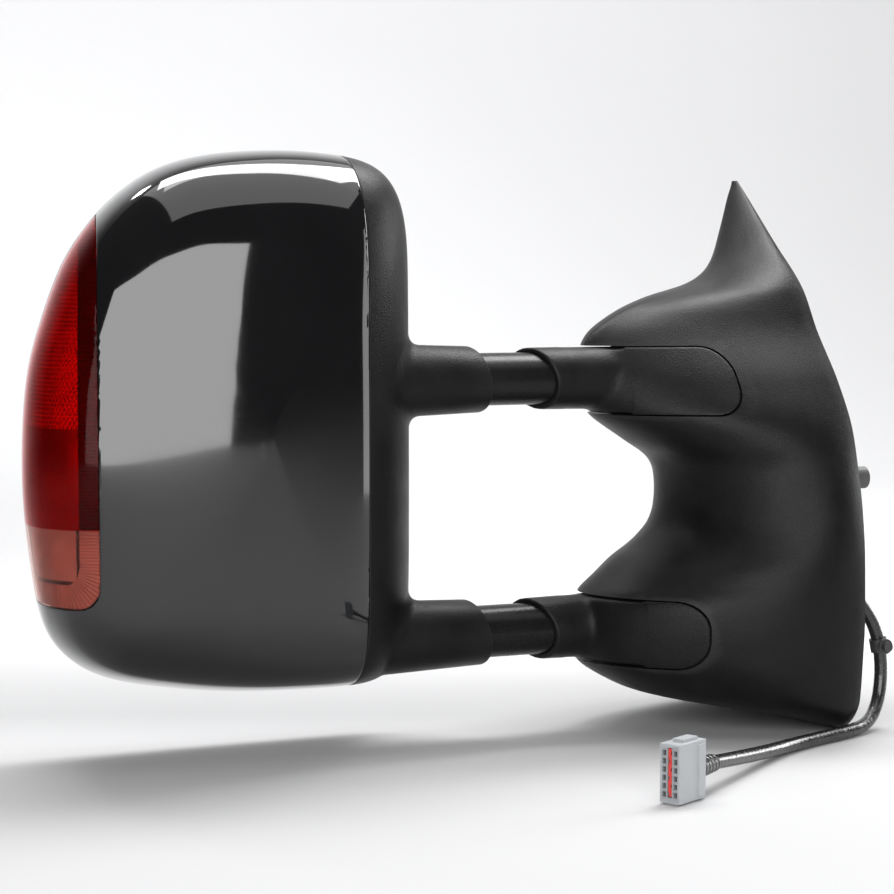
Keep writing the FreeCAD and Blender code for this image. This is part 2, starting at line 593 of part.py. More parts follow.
hw = dim("head_wall")
head_outer = head_solid(0.0, 0, 12)
head_inner = head_solid(hw, 6.0, 12)
head_shell = head_outer.cut(head_inner)
gap = dim("seam_gap")
ring_y = dim("rear_ring_y")
BIG = 400.0


def lens_region(grow):
    """The seam plane leans with the head's corner: it is 0.233 further in for each mm rearward."""
    x1, z0, r = dim("lens_seam_x") - 9.1 + grow, dim("lens_low_z") - grow, dim("lens_corner")
    p = [Vector(-640, -80, z0), Vector(x1 - r, -80, z0), Vector(x1, -80, z0 + r), Vector(x1, -80, 220), Vector(-640, -80, 220)]
    k = r * (1 - math.sqrt(0.5))
    es = [Part.LineSegment(p[0], p[1]), Part.Arc(p[1], Vector(x1 - k, -80, z0 + k), p[2]), Part.LineSegment(p[2], p[3]),
          Part.LineSegment(p[3], p[4]), Part.LineSegment(p[4], p[0])]
    return Part.Face(Part.Wire([e.toShape() for e in es])).extrude(Vector(0.233 * (80 + ring_y + grow), 80 + ring_y + grow, 0))


front_zone = Part.makeBox(BIG, 80 + ring_y, 2 * BIG, Vector(dim("cap_seam_x") - BIG, -80, -BIG))
front_zone_big = Part.makeBox(BIG, 80 + ring_y + gap, 2 * BIG, Vector(dim("cap_seam_x") + gap - BIG, -80, -BIG))
lens_cut, lens_cut_big = lens_region(0.0), lens_region(gap)
cap = head_shell.common(front_zone).cut(lens_cut_big)
lens = head_shell.common(lens_cut)
housing = head_shell.cut(front_zone_big).cut(lens_cut_big)

# housing: two tapered bosses for the tubes, a bar between the two glasses
for zc in (UP, LOW):
    boss = Part.makeCone(dim("boss_root_radius"), dim("boss_end_radius"), 75.0, Vector(-318.0, 0, zc), Vector(1, 0, 0))
    boss = boss.common(tilted_slab(dim("boss_end_x"), dim("boss_tilt_y"), dim("boss_tilt_z"), zc, False))
    boss = boss.cut(head_inner)
    flare = Part.makeCone(30.0, dim("boss_root_radius") - 0.6, 10.0, Vector(-299.5, 0, zc), Vector(1, 0, 0)).cut(head_inner)
    flare = flare.common(Part.makeBox(100, 120, 400, Vector(-340, -60, -160.5)))
    housing = housing.fuse(boss).fuse(flare)
housing = housing.cut(front_zone_big)
for zc in (UP, LOW):
    housing = housing.cut(Part.makeCylinder(dim("boss_bore"), 90.0, Vector(-330.0, 0, zc), Vector(1, 0, 0)))
    lip = Part.makeCylinder(dim("boss_bore") + 0.5, 3.0, Vector(-249.0, 0, zc), Vector(1, 0, 0))
bar = Part.makeBox(300, 14, dim("divider_high_z") - dim("divider_low_z"), Vector(-560, 40, dim("divider_low_z"))).common(head_outer)
housing = housing.fuse(bar)
node(feature("head_housing", solid_of(housing)), "head_housing")
node(feature("skull_cap", solid_of(cap)), "skull_cap")
node(feature("signal_lens", solid_of(lens)), "signal_lens")

# ------------------------------------------------------- signal lamp, inner set
deep = head_solid(hw + 0.8, 6.0, 12)
tray = deep.common(Part.makeBox(90, 51, 222, Vector(-602.5, -43, -80)))
tray = tray.common(Part.makeBox(200, 200, 500, Vector(-712.5, -100, -250)))
hollow = Part.makeBox(90, 46.5, 218, Vector(-604.5, -41.0 - 0.0, -78))
tray = tray.cut(hollow)
node(feature("signal_reflector", solid_of(tray)), "signal_reflector")
board_body = new_body("lamp_board_body")
sk = new_sketch(board_body, "lamp_board_sketch", "YZ_Plane", loop([(-20, -60), (2, -60), (2, 92), (-20, 92)]))
pad(board_body, "lamp_board_pad", sk, 1.6)
board_body.Placement = Placement(Vector(-516.4, 0, 0), Rotation())
node(board_body, "signal_board")
leds = []
for i in range(7):
    z = -51.0 + i * 22.0
    leds.append(cyl("led_%d" % i, "bulb_radius", 2.2, (-518.6, -9.0, z), "x"))
node(fuse("leds", leds), "signal_leds")

# -------------------------------------------------------- frame inside the head
out_x = dim("barrel_out_x")
hf = []
for i, zc in enumerate((UP, LOW)):
    hf.append(cyl("barrel_%d" % i, "barrel_radius", -326.0 - out_x, (out_x, 0, zc), "x"))
hf.append(box("head_web", (-368.0, -5.0, LOW + 15.0), (18.0, 24.0, UP - LOW - 30.0)))
hf += [box("head_plate", (-438.0, 19.6, -124.0), (50.0, 2.9, UP + 20.0 + 124.0)),
      box("head_arm_up", (-390.0, 19.6, UP - 16.0), (60.0, 2.9, 32.0)), box("head_arm_low", (-390.0, 19.6, LOW + 2.0), (60.0, 2.9, 30.0))]
head_frame_sum = fuse("head_frame_sum", hf)
hf_cut = [cyl("barrel_bore_%d" % i, "boss_bore", 200.0, (-460.0, 0, zc), "x") for i, zc in enumerate((UP, LOW))]
for i, (x, z) in enumerate(((-431.0, 45.0), (-395.0, 45.0))):
    hf_cut.append(cyl("plate_hole_%d" % i, 1.6, 14.0, (x, 12.0, z), "y"))
node(cut("head_frame_cut", head_frame_sum, fuse("head_frame_tools", hf_cut)), "head_frame")

guides = []
for i, zc in enumerate((UP, LOW)):
    for j, x in enumerate((-288.0, out_x + 1.0)):
        a = cyl("guide_out_%d%d" % (i, j), "guide_outer", "bush_len", (x, 0, zc), "x")
        b = cyl("guide_in_%d%d" % (i, j), "guide_inner", 60.0, (x - 10, 0, zc), "x")
        guides.append(cut("guide_%d%d" % (i, j), a, b))
node(fuse("guides", guides), "tube_guide_bushes")

# ------------------------------------------------------------- glass actuator
GX, GZ, GY = dim("glass_x"), dim("glass_z"), dim("pivot_plane_y")
act = fuse("act_sum", [
    box("act_plate", (GX - 36, 22.6, 38.0), (72.0, 8.4, 72.0)),
    box("act_bay", (GX - 34, 0.0, 69.0), (68.0, 24.0, 41.0)),
    box("act_ear_a", (GX - 17, 30.0, GZ - 5), (4.0, 9.4, 10.0)),
    box("act_ear_b", (GX + 13, 30.0, GZ - 5), (4.0, 9.4, 10.0))])
SCREWS_A = ((-431.0, 45.0), (-395.0, 45.0))
act_tools = [box("act_cavity", (GX - 32, -1.0, 71.0), (64.0, 30.0, 37.0)),
             box("act_relief", (GX - 10, 28.0, 40.0), (20.0, 1.0, 22.0)),
             cyl("act_pin_hole", "gimbal_bore", 60.0, (GX - 30, GY, GZ), "x"),
             cyl("act_jack_up", ("jack_radius", 1.0, 0.35), 20.0, (GX, 20.0, GZ + dim("jack_lever_up")), "y"),
             cyl("act_jack_side", ("jack_radius", 1.0, 0.35), 20.0, (GX + dim("jack_lever_side"), 20.0, GZ), "y")]
for i, (x, z) in enumerate(SCREWS_A):
    act_tools.append(cyl("act_screw_hole_%d" % i, 1.6, 30.0, (x, 15.0, z), "y"))
node(cut("act_cut", act, fuse("act_tools", act_tools)), "actuator_housing")
cover_body = new_body("act_cover_body")
sk = new_sketch(cover_body, "act_cover_sketch", "XZ_Plane", loop([(GX - 34, 69), (GX + 34, 69), (GX + 34, 110), (GX - 34, 110)]))
pad(cover_body, "act_cover_pad", sk, 2.0)
node(cover_body, "actuator_cover")
motors = []
for i, s in enumerate((-1, 1)):
    can = cyl("motor_can_%d" % i, "motor_radius", "motor_len", (GX + s * 17.5, 2.0, 91.0), "y")
    tip = cyl("motor_tip_%d" % i, 3.0, 1.8, (GX + s * 17.5, 0.2, 91.0), "y")
    motors.append(fuse("motor_%d" % i, [can, tip]))
node(fuse("motors", motors), "actuator_motors")
as_ = []
for i, (x, z) in enumerate(SCREWS_A):
    as_.append(fuse("act_screw_%d" % i, [cyl("act_shank_%d" % i, 1.5, 12.0, (x, 19.6, z), "y"),
                                        cyl("act_head_%d" % i, 3.0, 1.6, (x, 31.0, z), "y")]))
node(fuse("act_screws", as_), "actuator_screws")

# the two push rods with ball ends
for tag, x, z in (("tilt", GX, GZ + dim("jack_lever_up")), ("turn", GX + dim("jack_lever_side"), GZ)):
    top = dim("back_y") - 0.45
    r = dim("jack_radius")
    prof = [(0, 8.0), (r, 8.0), (r, top - r - 1.5), (r - 1.2, top - r - 0.8), (r - 1.2, top - r)]
    jb = new_body(tag + "_jack_body")
    sk = new_sketch(jb, tag + "_jack_sketch", "XY_Plane", loop([(0, 8.0), (r, 8.0), (r, top - 5.0), (1.7, top - 4.4),
                                                              (1.7, top - 3.6), (r - 0.6, top - 2.4), (r - 0.6, top - 1.2),
                                                              (1.2, top), (0, top)]))
    revolve(jb, tag + "_jack_rev", sk, "V_Axis")
    jb.Placement = Placement(Vector(x, 0, z), Rotation())
    node(jb, tag + "_jack_rod")


def gimbal(tag, zc, reach):
    parts = [box(tag + "_block", (GX - 8, GY - 3.2, zc - 8), (16.0, 6.4, 16.0)),
             cyl(tag + "_pin_x", "gimbal_pin", 2 * reach, (GX - reach, GY, zc), "x"),
             cyl(tag + "_pin_z", "gimbal_pin", 2 * reach, (GX, GY, zc - reach), "z")]
    return fuse(tag + "_gimbal", parts)


node(gimbal("main", GZ, 17.0), "main_gimbal")
node(gimbal("spot", dim("spot_z"), 17.0), "spot_gimbal")
SZ = dim("spot_z")
bracket = fuse("spot_bracket_sum", [
    box("spot_base", (GX - 20, 22.6, SZ - 14), (40.0, 6.0, 28.0)),
    box("spot_ear_a", (GX - 17, 28.0, SZ - 5), (4.0, 11.4, 10.0)),
    box("spot_ear_b", (GX + 13, 28.0, SZ - 5), (4.0, 11.4, 10.0))])
node(cut("spot_bracket", bracket, cyl("spot_pin_hole", "gimbal_bore", 60.0, (GX - 30, GY, SZ), "x")), "spot_bracket")

# --------------------------------------------------------------------- glasses


def outline_prism(inset, y0, y1):
    """The head's rear outline, drawn in by inset, as a slab."""
    wire = head_section(1, inset, y0)
    return Part.Face(wire).extrude(Vector(0, y1 - y0, 0))


def slab(inset, y0, y1, z_low, z_high, corner):
    s = outline_prism(inset, y0, y1).common(Part.makeBox(600, 100, z_high - z_low, Vector(-700, y0 - 20, z_low)))
    es = []
    for e in s.Edges:
        a, b = e.Vertexes[0].Point, e.Vertexes[-1].Point
        if abs(a.x - b.x) < 1e-6 and abs(a.z - b.z) < 1e-6 and abs(abs(a.y - b.y) - (y1 - y0)) < 1e-6:
            if abs(a.z - z_low) < 0.01 or abs(a.z - z_high) < 0.01:
                es.append(e)
    return s.makeFillet(corner, es) if es else s


by, bt, ht, gt = dim("back_y"), dim("back_thick"), dim("heater_thick"), dim("glass_thick")
gi = dim("glass_inset")
M_LOW, S_TOP = -37.0, -53.0
for tag, zl, zh, zc in (("main", M_LOW, 300.0, GZ), ("spot", -300.0, S_TOP, SZ)):
    back = slab(gi + 3.0, by, by + bt, zl + (1.5 if tag == "main" else 0.0), zh - (1.5 if tag == "spot" else 0.0), 9.0)
    for s in (-1, 1):
        ear = Part.makeBox(10, by - (GY - 2.4) + 0.2, 4, Vector(GX - 5, GY - 2.4, zc + (13 if s > 0 else -17)))
        back = back.fuse(ear)
    back = back.cut(Part.makeCylinder(dim("gimbal_bore"), 60, Vector(GX, GY, zc - 30)))
    node(feature(tag + "_backplate", solid_of(back)), tag + "_backplate")
    if tag == "main":
        node(feature("heater_pad", slab(gi + 4, by + bt, by + bt + ht, zl + 4, zh, 6.0)), "heater_pad")
        node(feature("main_glass", slab(gi + 0.8, by + bt + ht, by + bt + ht + gt, zl + 0.8, zh, 8.0)), "main_glass")
    else:
        # the lower glass is convex: its face rises to the middle
        flat = slab(gi + 0.8, by + bt, by + bt + 4.6, zl, zh - 0.8, 8.0)
        R = 2200.0
        ball = Part.makeSphere(R, Vector(GX, by + bt + 4.4 - R, SZ))
        node(feature("spot_glass", solid_of(flat.common(ball))), "spot_glass")

# ------------------------------------------------------------ cable and plug
# Angled rubber grommet in the frame plate, then the cable's own route.
G0 = Vector(-11.2, GROM_Y, GROM_Z)
G1 = Vector(8.0, -66.0, -108.0)
gdir = Vector(0.67, -0.01, -0.742)
gdir.normalize()
flange_a = Part.makeCylinder(7.9, 8.0, Vector(-11.2, GROM_Y, GROM_Z), Vector(1, 0, 0))
flange_b = Part.makeCylinder(9.3, 2.6, Vector(-3.2, GROM_Y, GROM_Z), Vector(1, 0, 0))
nozzle = Part.makeCone(7.6, 5.6, 14.5, G1 - gdir * 14.5, gdir).common(Part.makeBox(60, 60, 60, Vector(-3.2, -100, -130)))
node(feature("cable_grommet", solid_of(flange_a.fuse(flange_b).fuse(nozzle))), "cable_grommet")

ROUTE = [(8.0, -66.0, -108.0), (17.3, -66.2, -118.3), (24.6, -66.6, -132.5), (28.4, -67.0, -150.5), (28.0, -67.6, -170.0),
         (21.5, -72.2, -185.2), (8.0, -82.0, -193.4), (-14.0, -93.5, -194.6), (-42.0, -104.0, -194.6), (-74.0, -118.5, -194.2),
         (-106.0, -140.5, -191.8), (-140.0, -166.5, -187.4), (-171.0, -190.0, -183.0)]


def cord_tube(points, radius):
    """Straight runs joined by tangent arcs; returns the solid and its radii."""
    p = [Vector(*q) for q in points]
    n = len(p)
    edges, radii = [], []
    last = p[0]
    for i in range(1, n - 1):
        a, b = (p[i] - p[i - 1]), (p[i + 1] - p[i])
        la, lb = a.Length, b.Length
        a.normalize()
        b.normalize()
        turn = math.acos(max(-1.0, min(1.0, a.dot(b))))
        t = 0.45 * min(la, lb)
        r = t / math.tan(turn / 2)
        radii.append(r)
        s, e = p[i] - a * t, p[i] + b * t
        bis = (b - a)
        bis.normalize()
        centre = p[i] + bis * (r / math.cos(turn / 2))
        mid = centre - bis * r
        edges.append(Part.LineSegment(last, s).toShape())
        edges.append(Part.Arc(s, mid, e).toShape())
        last = e
    edges.append(Part.LineSegment(last, p[-1]).toShape())
    path = Part.Wire(edges)
    d = (p[1] - p[0])
    d.normalize()
    prof = Part.Wire([Part.Circle(p[0], d, radius).toShape()])
    tube_ = path.makePipeShell([prof], True, True)
    want = math.pi * radius ** 2 * path.Length
    print("cable: length %.1f mm, volume %.0f of %.0f, radii %s" % (path.Length, tube_.Volume, want,
                                                                 [round(q, 1) for q in radii]))
    return tube_


node(feature("harness_cable", cord_tube(ROUTE, dim("cable_radius"))), "harness_cable")

# connector lying on its narrow side, its face outboard
cu = Vector(0.883, 0.469, 0)
cw = Vector(0.469, -0.883, 0)
CF = Vector(-216.0, -219.0, dim("floor_z"))
L, W, H = dim("conn_len"), dim("conn_wide"), dim("conn_tall")
conn_pl = Placement(CF, Rotation(cu, Vector(0, 0, 1).cross(cu), Vector(0, 0, 1), "XZY"))
# local axes: x along the body, y across (away from cw), z up; origin at the face's foot


def local(shape):
    s = shape.copy()
    s.Placement = conn_pl.multiply(s.Placement)
    return s


body_box = Part.makeBox(L, W, H - 2.0, Vector(0, -W / 2, 1.2))
ridge = Part.makeBox(L * 0.55, W * 0.55, 2.0, Vector(L * 0.3, -W * 0.275, H - 0.9))
lip_low = Part.makeBox(L * 0.5, W * 0.6, 1.4, Vector(2.0, -W * 0.3, 0.0))
collar = Part.makeBox(6.0, W + 2.4, H - 6.0, Vector(L - 8.0, -W / 2 - 1.2, 3.0))
hsg = body_box.fuse(ridge).fuse(lip_low).fuse(collar)
ROWS = 6
pitch = 5.0
z_first = 1.2 + (H - 2.0) / 2 - pitch * (ROWS - 1) / 2
lock_gap = Part.makeBox(16.0, 3.2, H - 7.5, Vector(-1, -1.6, 4.6))
hsg = hsg.cut(lock_gap)
for col in (-1, 1):
    for k in range(ROWS):
        hsg = hsg.cut(Part.makeBox(14.0, 2.6, 3.2, Vector(-1, col * 4.0 - 1.3, z_first + k * pitch - 1.6)))
back_hole = Part.makeCylinder(5.6, 10.0, Vector(L - 8, 0, 16.2), Vector(1, 0, 0))
node(feature("connector_housing", solid_of(local(hsg))), "connector_housing")
lock = Part.makeBox(13.0, 2.6, H - 8.7, Vector(0.6, -1.3, 5.2))
for k in range(ROWS):
    zz = z_first + k * pitch
    lock = lock.cut(Part.makeBox(2.0, 1.0, 2.2, Vector(0.2, -1.4 if k % 2 else 0.5, zz - 1.1)))
node(feature("connector_lock", solid_of(local(lock))), "connector_lock")
pins = []
for col in (-1, 1):
    for k in range(ROWS):
        pins.append(local(Part.makeBox(9.0, 0.9, 1.6, Vector(4.0, col * 4.0 - 0.45, z_first + k * pitch - 0.8))))
node(feature("connector_terminals", Part.makeCompound(pins)), "connector_terminals")
# tape-wrapped end between the cable and the connector
end = Vector(*ROUTE[-1])
face = CF + cu * L + Vector(0, 0, 17.4)
wrap_dir = face - end
boot = Part.makeCone(dim("cable_radius") + 1.0, 6.6, wrap_dir.Length - 0.0, end, wrap_dir)
boot = boot.cut(Part.makeBox(60, 60, 80, Vector(0, -30, -20)).copy()) if False else boot
keep = Part.makeBox(80, 60, 80, Vector(0, -30, -20))
keep.Placement = Placement(CF + cu * L, conn_pl.Rotation)
node(feature("cable_wrap", solid_of(boot.common(keep))), "cable_wrap")
# snap-in clip on the hanging stretch
c0 = Vector(26.4, -66.8, -141.0)
cdir = Vector(ROUTE[3][0] - ROUTE[2][0], ROUTE[3][1] - ROUTE[2][1], ROUTE[3][2] - ROUTE[2][2])
cdir.normalize()
c0 = Vector(*ROUTE[2]) + (Vector(*ROUTE[3]) - Vector(*ROUTE[2])) * 0.5
band = Part.makeCylinder(dim("cable_radius") + 1.6, 9.0, c0 - cdir * 4.5, cdir)
band = band.cut(Part.makeCylinder(dim("cable_radius") + 0.02, 20.0, c0 - cdir * 10, cdir))
head_c = Part.makeCylinder(3.4, 7.0, c0 + Vector(0, -5.6, 0), Vector(0, -1, 0)).fuse(
    Part.makeCylinder(5.2, 1.8, c0 + Vector(0, -7.6, 0), Vector(0, -1, 0)))
head_c = head_c.cut(Part.makeCylinder(dim("cable_radius") + 0.6, 30.0, c0 - cdir * 15, cdir))
node(feature("cable_clip", solid_of(band.fuse(head_c))), "cable_clip")

# ------------------------------------------------------------------ check, save
doc.recompute()
bad = []
for obj in doc.Objects:
    if any(s in ("Invalid", "Error") for s in obj.State):
        bad.append("%s: %s" % (obj.Name, obj.State))
for obj in NODES:
    s = obj.Shape
    if s.isNull() or not s.isValid() or not s.Solids:
        bad.append("%s: bad shape" % obj.Label)
if bad:
    raise RuntimeError("; ".join(bad))
for obj in NODES:
    s = obj.Shape
    bb = s.BoundBox
    print("%-22s solids %2d  vol %9.0f  X %7.1f %7.1f  Y %7.1f %7.1f  Z %7.1f %7.1f" % (
        obj.Label, len(s.Solids), s.Volume, bb.XMin, bb.XMax, bb.YMin, bb.YMax, bb.ZMin, bb.ZMax))
    s.exportStep("parts/%s.step" % obj.Label)
print("%d nodes" % len(NODES))
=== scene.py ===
import bpy
import bmesh
import json
import math
import numpy as np
from mathutils import Vector, Matrix
from mathutils.bvhtree import BVHTree
from mathutils.kdtree import KDTree


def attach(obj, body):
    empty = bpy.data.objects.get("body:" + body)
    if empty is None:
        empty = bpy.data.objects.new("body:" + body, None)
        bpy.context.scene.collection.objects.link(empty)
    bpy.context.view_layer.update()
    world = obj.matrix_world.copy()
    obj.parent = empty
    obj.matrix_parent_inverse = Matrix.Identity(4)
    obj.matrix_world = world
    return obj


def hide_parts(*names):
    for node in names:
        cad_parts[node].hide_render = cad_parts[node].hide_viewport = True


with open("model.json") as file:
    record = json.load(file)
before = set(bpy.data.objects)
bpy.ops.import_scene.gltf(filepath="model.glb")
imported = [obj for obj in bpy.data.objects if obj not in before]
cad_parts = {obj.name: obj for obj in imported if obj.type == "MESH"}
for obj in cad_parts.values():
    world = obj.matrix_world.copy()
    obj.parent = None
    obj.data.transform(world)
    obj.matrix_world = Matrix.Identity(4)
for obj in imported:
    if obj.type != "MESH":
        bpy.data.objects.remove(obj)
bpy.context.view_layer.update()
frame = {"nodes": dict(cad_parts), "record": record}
NODES = frame["nodes"]
MM = 0.001
FLOOR = -0.1992
UP, LOW = 44.8, -126.0
UPC, LOWC = 43.0, -126.6

# ------------------------------------------------------------------- camera
cam_data = bpy.data.cameras.new("camera")
cam_data.sensor_width = 36.0
cam_data.lens = 90.4
cam_data.clip_start = 0.05
cam = bpy.data.objects.new("camera", cam_data)
bpy.context.scene.collection.objects.link(cam)
target = Vector((-0.270, 0.0, 0.0))
az, el, dist = math.radians(22.0), math.radians(4.5), 1.5
cam.location = target + Vector((-math.sin(az) * math.cos(el), -math.cos(az) * math.cos(el), math.sin(el))) * dist
cam.rotation_euler = (target - cam.location).to_track_quat("-Z", "Y").to_euler()
bpy.context.scene.camera = cam


# ---------------------------------------------------------------- materials
def tree(name):
    m = bpy.data.materials.new(name)
    m.use_nodes = True
    nt = m.node_tree
    return m, nt, nt.nodes["Principled BSDF"]


def link(nt, a, b):
    nt.links.new(a, b)


def coords(nt, stretch=(1, 1, 1)):
    tc = nt.nodes.new("ShaderNodeTexCoord")
    mp = nt.nodes.new("ShaderNodeMapping")
    mp.inputs["Scale"].default_value = stretch
    link(nt, tc.outputs["Object"], mp.inputs["Vector"])
    return mp.outputs["Vector"]


def noise(nt, vec, scale, detail=3.0, rough=0.55):
    n = nt.nodes.new("ShaderNodeTexNoise")
    n.inputs["Scale"].default_value = scale
    n.inputs["Detail"].default_value = detail
    n.inputs["Roughness"].default_value = rough
    link(nt, vec, n.inputs["Vector"])
    return n.outputs["Fac"]


def ramp(nt, fac, c0, c1, p0=0.3, p1=0.7):
    r = nt.nodes.new("ShaderNodeValToRGB")
    r.color_ramp.elements[0].position = p0
    r.color_ramp.elements[1].position = p1
    r.color_ramp.elements[0].color = (*c0, 1)
    r.color_ramp.elements[1].color = (*c1, 1)
    link(nt, fac, r.inputs["Fac"])
    return r.outputs["Color"]


def span(nt, fac, lo, hi, f0=0.25, f1=0.75):
    r = nt.nodes.new("ShaderNodeMapRange")
    r.inputs["From Min"].default_value = f0
    r.inputs["From Max"].default_value = f1
    r.inputs["To Min"].default_value = lo
    r.inputs["To Max"].default_value = hi
    link(nt, fac, r.inputs["Value"])
    return r.outputs["Result"]


def bump(nt, height, strength, distance, normal=None):
    b = nt.nodes.new("ShaderNodeBump")
    b.inputs["Strength"].default_value = strength
    b.inputs["Distance"].default_value = distance
    link(nt, height, b.inputs["Height"])
    if normal is not None:
        link(nt, normal, b.inputs["Normal"])
    return b.outputs["Normal"]


def stuff(name, dark, light, rough, grain, depth, metal=0.0, coat=0.0, coat_rough=0.05, wear=0.0, stretch=(1, 1, 1),
          spec=0.5, patch=35.0, voronoi=False, strength=0.6, sheen=0.0):
    """A moulded, painted, cast or plated surface: colour drift, roughness drift, grain and worn edges."""
    m, nt, p = tree(name)
    v = coords(nt, stretch)
    wide = noise(nt, v, patch, 4.0)
    col = ramp(nt, wide, dark, light)
    if wear > 0:
        g = nt.nodes.new("ShaderNodeNewGeometry")
        edge = span(nt, g.outputs["Pointiness"], 0.0, wear, 0.515, 0.56)
        mix = nt.nodes.new("ShaderNodeMix")
        mix.data_type = "RGBA"
        link(nt, edge, mix.inputs[0])
        link(nt, col, mix.inputs[6])
        mix.inputs[7].default_value = tuple(min(1.0, c * 2.2 + 0.03) for c in light) + (1,)
        col = mix.outputs[2]
    link(nt, col, p.inputs["Base Color"])
    p.inputs["Metallic"].default_value = metal
    p.inputs["Specular IOR Level"].default_value = spec
    fine = noise(nt, v, grain, 2.0, 0.5)
    if voronoi:
        vo = nt.nodes.new("ShaderNodeTexVoronoi")
        vo.feature = "SMOOTH_F1"
        vo.inputs["Scale"].default_value = grain * 0.8
        link(nt, v, vo.inputs["Vector"])
        add = nt.nodes.new("ShaderNodeMath")
        add.operation = "ADD"
        link(nt, vo.outputs["Distance"], add.inputs[0])
        link(nt, fine, add.inputs[1])
        fine_h = add.outputs[0]
    else:
        fine_h = fine
    both = nt.nodes.new("ShaderNodeMath")
    both.operation = "ADD"
    link(nt, wide, both.inputs[0])
    link(nt, fine, both.inputs[1])
    link(nt, span(nt, both.outputs[0], rough[0], rough[1], 0.75, 1.25), p.inputs["Roughness"])
    if coat:
        p.inputs["Coat Weight"].default_value = coat
        p.inputs["Coat Roughness"].default_value = coat_rough
    if sheen:
        p.inputs["Sheen Weight"].default_value = sheen
    link(nt, bump(nt, fine_h, strength, depth), p.inputs["Normal"])
    return m


MAT = {
    "textured_black": stuff("textured_black", (0.0040, 0.0040, 0.0041), (0.0065, 0.0065, 0.0067), (0.33, 0.47), 1500, 0.00016,
                            wear=0.25, voronoi=True, strength=0.9, spec=0.15),
    "gloss_black": stuff("gloss_black", (0.0030, 0.0030, 0.0034), (0.0042, 0.0042, 0.0046), (0.045, 0.075), 700, 0.000004,
                         coat=0.55, coat_rough=0.03, patch=18.0, strength=0.25),
    "black_steel": stuff("black_steel", (0.0045, 0.0045, 0.0046), (0.0065, 0.0065, 0.0067), (0.24, 0.36), 1700, 0.00006,
                         strength=0.5, stretch=(0.35, 1, 1), spec=0.2),
    "cast_alloy": stuff("cast_alloy", (0.022, 0.022, 0.023), (0.040, 0.040, 0.041), (0.38, 0.55), 900, 0.00015, wear=0.3),
    "zinc_steel": stuff("zinc_steel", (0.55, 0.56, 0.58), (0.68, 0.69, 0.70), (0.22, 0.38), 1200, 0.00004, metal=1.0, wear=0.2),
    "motor_steel": stuff("motor_steel", (0.50, 0.51, 0.52), (0.60, 0.61, 0.62), (0.25, 0.40), 900, 0.00004, metal=1.0),
    "brass": stuff("brass", (0.62, 0.42, 0.16), (0.74, 0.53, 0.22), (0.24, 0.40), 1200, 0.00005, metal=1.0, wear=0.2),
    "foam": stuff("foam", (0.018, 0.018, 0.018), (0.035, 0.035, 0.035), (0.85, 0.98), 1100, 0.0005, voronoi=True, strength=0.9),
    "black_rubber": stuff("black_rubber", (0.014, 0.014, 0.014), (0.022, 0.022, 0.022), (0.55, 0.72), 1300, 0.00010),
    "nylon_white": stuff("nylon_white", (0.70, 0.69, 0.64), (0.80, 0.79, 0.74), (0.38, 0.52), 900, 0.00006),
    "nylon_black": stuff("nylon_black", (0.014, 0.014, 0.015), (0.024, 0.024, 0.025), (0.36, 0.52), 1100, 0.00008, wear=0.2),
    "mirror_glass": stuff("mirror_glass", (0.80, 0.82, 0.83), (0.84, 0.86, 0.87), (0.008, 0.022), 60, 0.0000005, metal=1.0,
                          coat=0.3, coat_rough=0.01, strength=0.1),
    "heater_film": stuff("heater_film", (0.50, 0.30, 0.10), (0.62, 0.38, 0.14), (0.35, 0.5), 600, 0.00005, metal=0.3),
    "connector_grey": stuff("connector_grey", (0.215, 0.225, 0.235), (0.27, 0.28, 0.29), (0.36, 0.50), 1000, 0.00006, wear=0.25),
    "lock_red": stuff("lock_red", (0.42, 0.018, 0.014), (0.56, 0.030, 0.022), (0.28, 0.40), 1000, 0.00004, wear=0.15),
    "board_green": stuff("board_green", (0.012, 0.09, 0.035), (0.02, 0.13, 0.05), (0.35, 0.5), 700, 0.00004),
    "led_yellow": stuff("led_yellow", (0.75, 0.60, 0.12), (0.85, 0.70, 0.20), (0.15, 0.25), 500, 0.00002),
    "reflector_silver": stuff("reflector_silver", (0.70, 0.70, 0.70), (0.80, 0.80, 0.80), (0.12, 0.22), 500, 0.00004, metal=1.0),
}

# red glazing: a clear tinted shell over a moulded prism sheet
m, nt, p = tree("red_lens")
v = coords(nt)
p.inputs["Transmission Weight"].default_value = 0.985
p.inputs["Specular IOR Level"].default_value = 0.2
p.inputs["IOR"].default_value = 1.16
sep = nt.nodes.new("ShaderNodeSeparateXYZ")
link(nt, v, sep.inputs["Vector"])
zone_f = span(nt, sep.outputs["Z"], 0.0, 1.0, -0.0421, -0.0413)
mix = nt.nodes.new("ShaderNodeMix")
mix.data_type = "RGBA"
link(nt, zone_f, mix.inputs[0])
link(nt, ramp(nt, noise(nt, v, 60), (0.80, 0.44, 0.38), (0.86, 0.52, 0.46)), mix.inputs[6])
link(nt, ramp(nt, noise(nt, v, 40), (0.56, 0.012, 0.007), (0.68, 0.018, 0.011)), mix.inputs[7])
link(nt, mix.outputs[2], p.inputs["Base Color"])
link(nt, span(nt, noise(nt, v, 90), 0.015, 0.05), p.inputs["Roughness"])
link(nt, bump(nt, noise(nt, v, 300, 1.0), 0.05, 0.00002), p.inputs["Normal"])
MAT["red_lens"] = m
MAT["prism_hex"] = stuff("prism_hex", (0.40, 0.015, 0.010), (0.62, 0.035, 0.024), (0.10, 0.20), 700, 0.00003, metal=0.35, coat=0.5,
                         patch=55, strength=0.3)
# Painted highlight: the cell edges of the same red prism plastic get a much lighter colour, standing in for glints off
# the facets.
MAT["prism_edge_painted_glint"] = stuff("prism_edge_painted_glint", (0.97, 0.30, 0.20), (1.0, 0.42, 0.30), (0.15, 0.25), 700, 0.00003, metal=0.1, coat=0.5,
                         patch=55, strength=0.3)
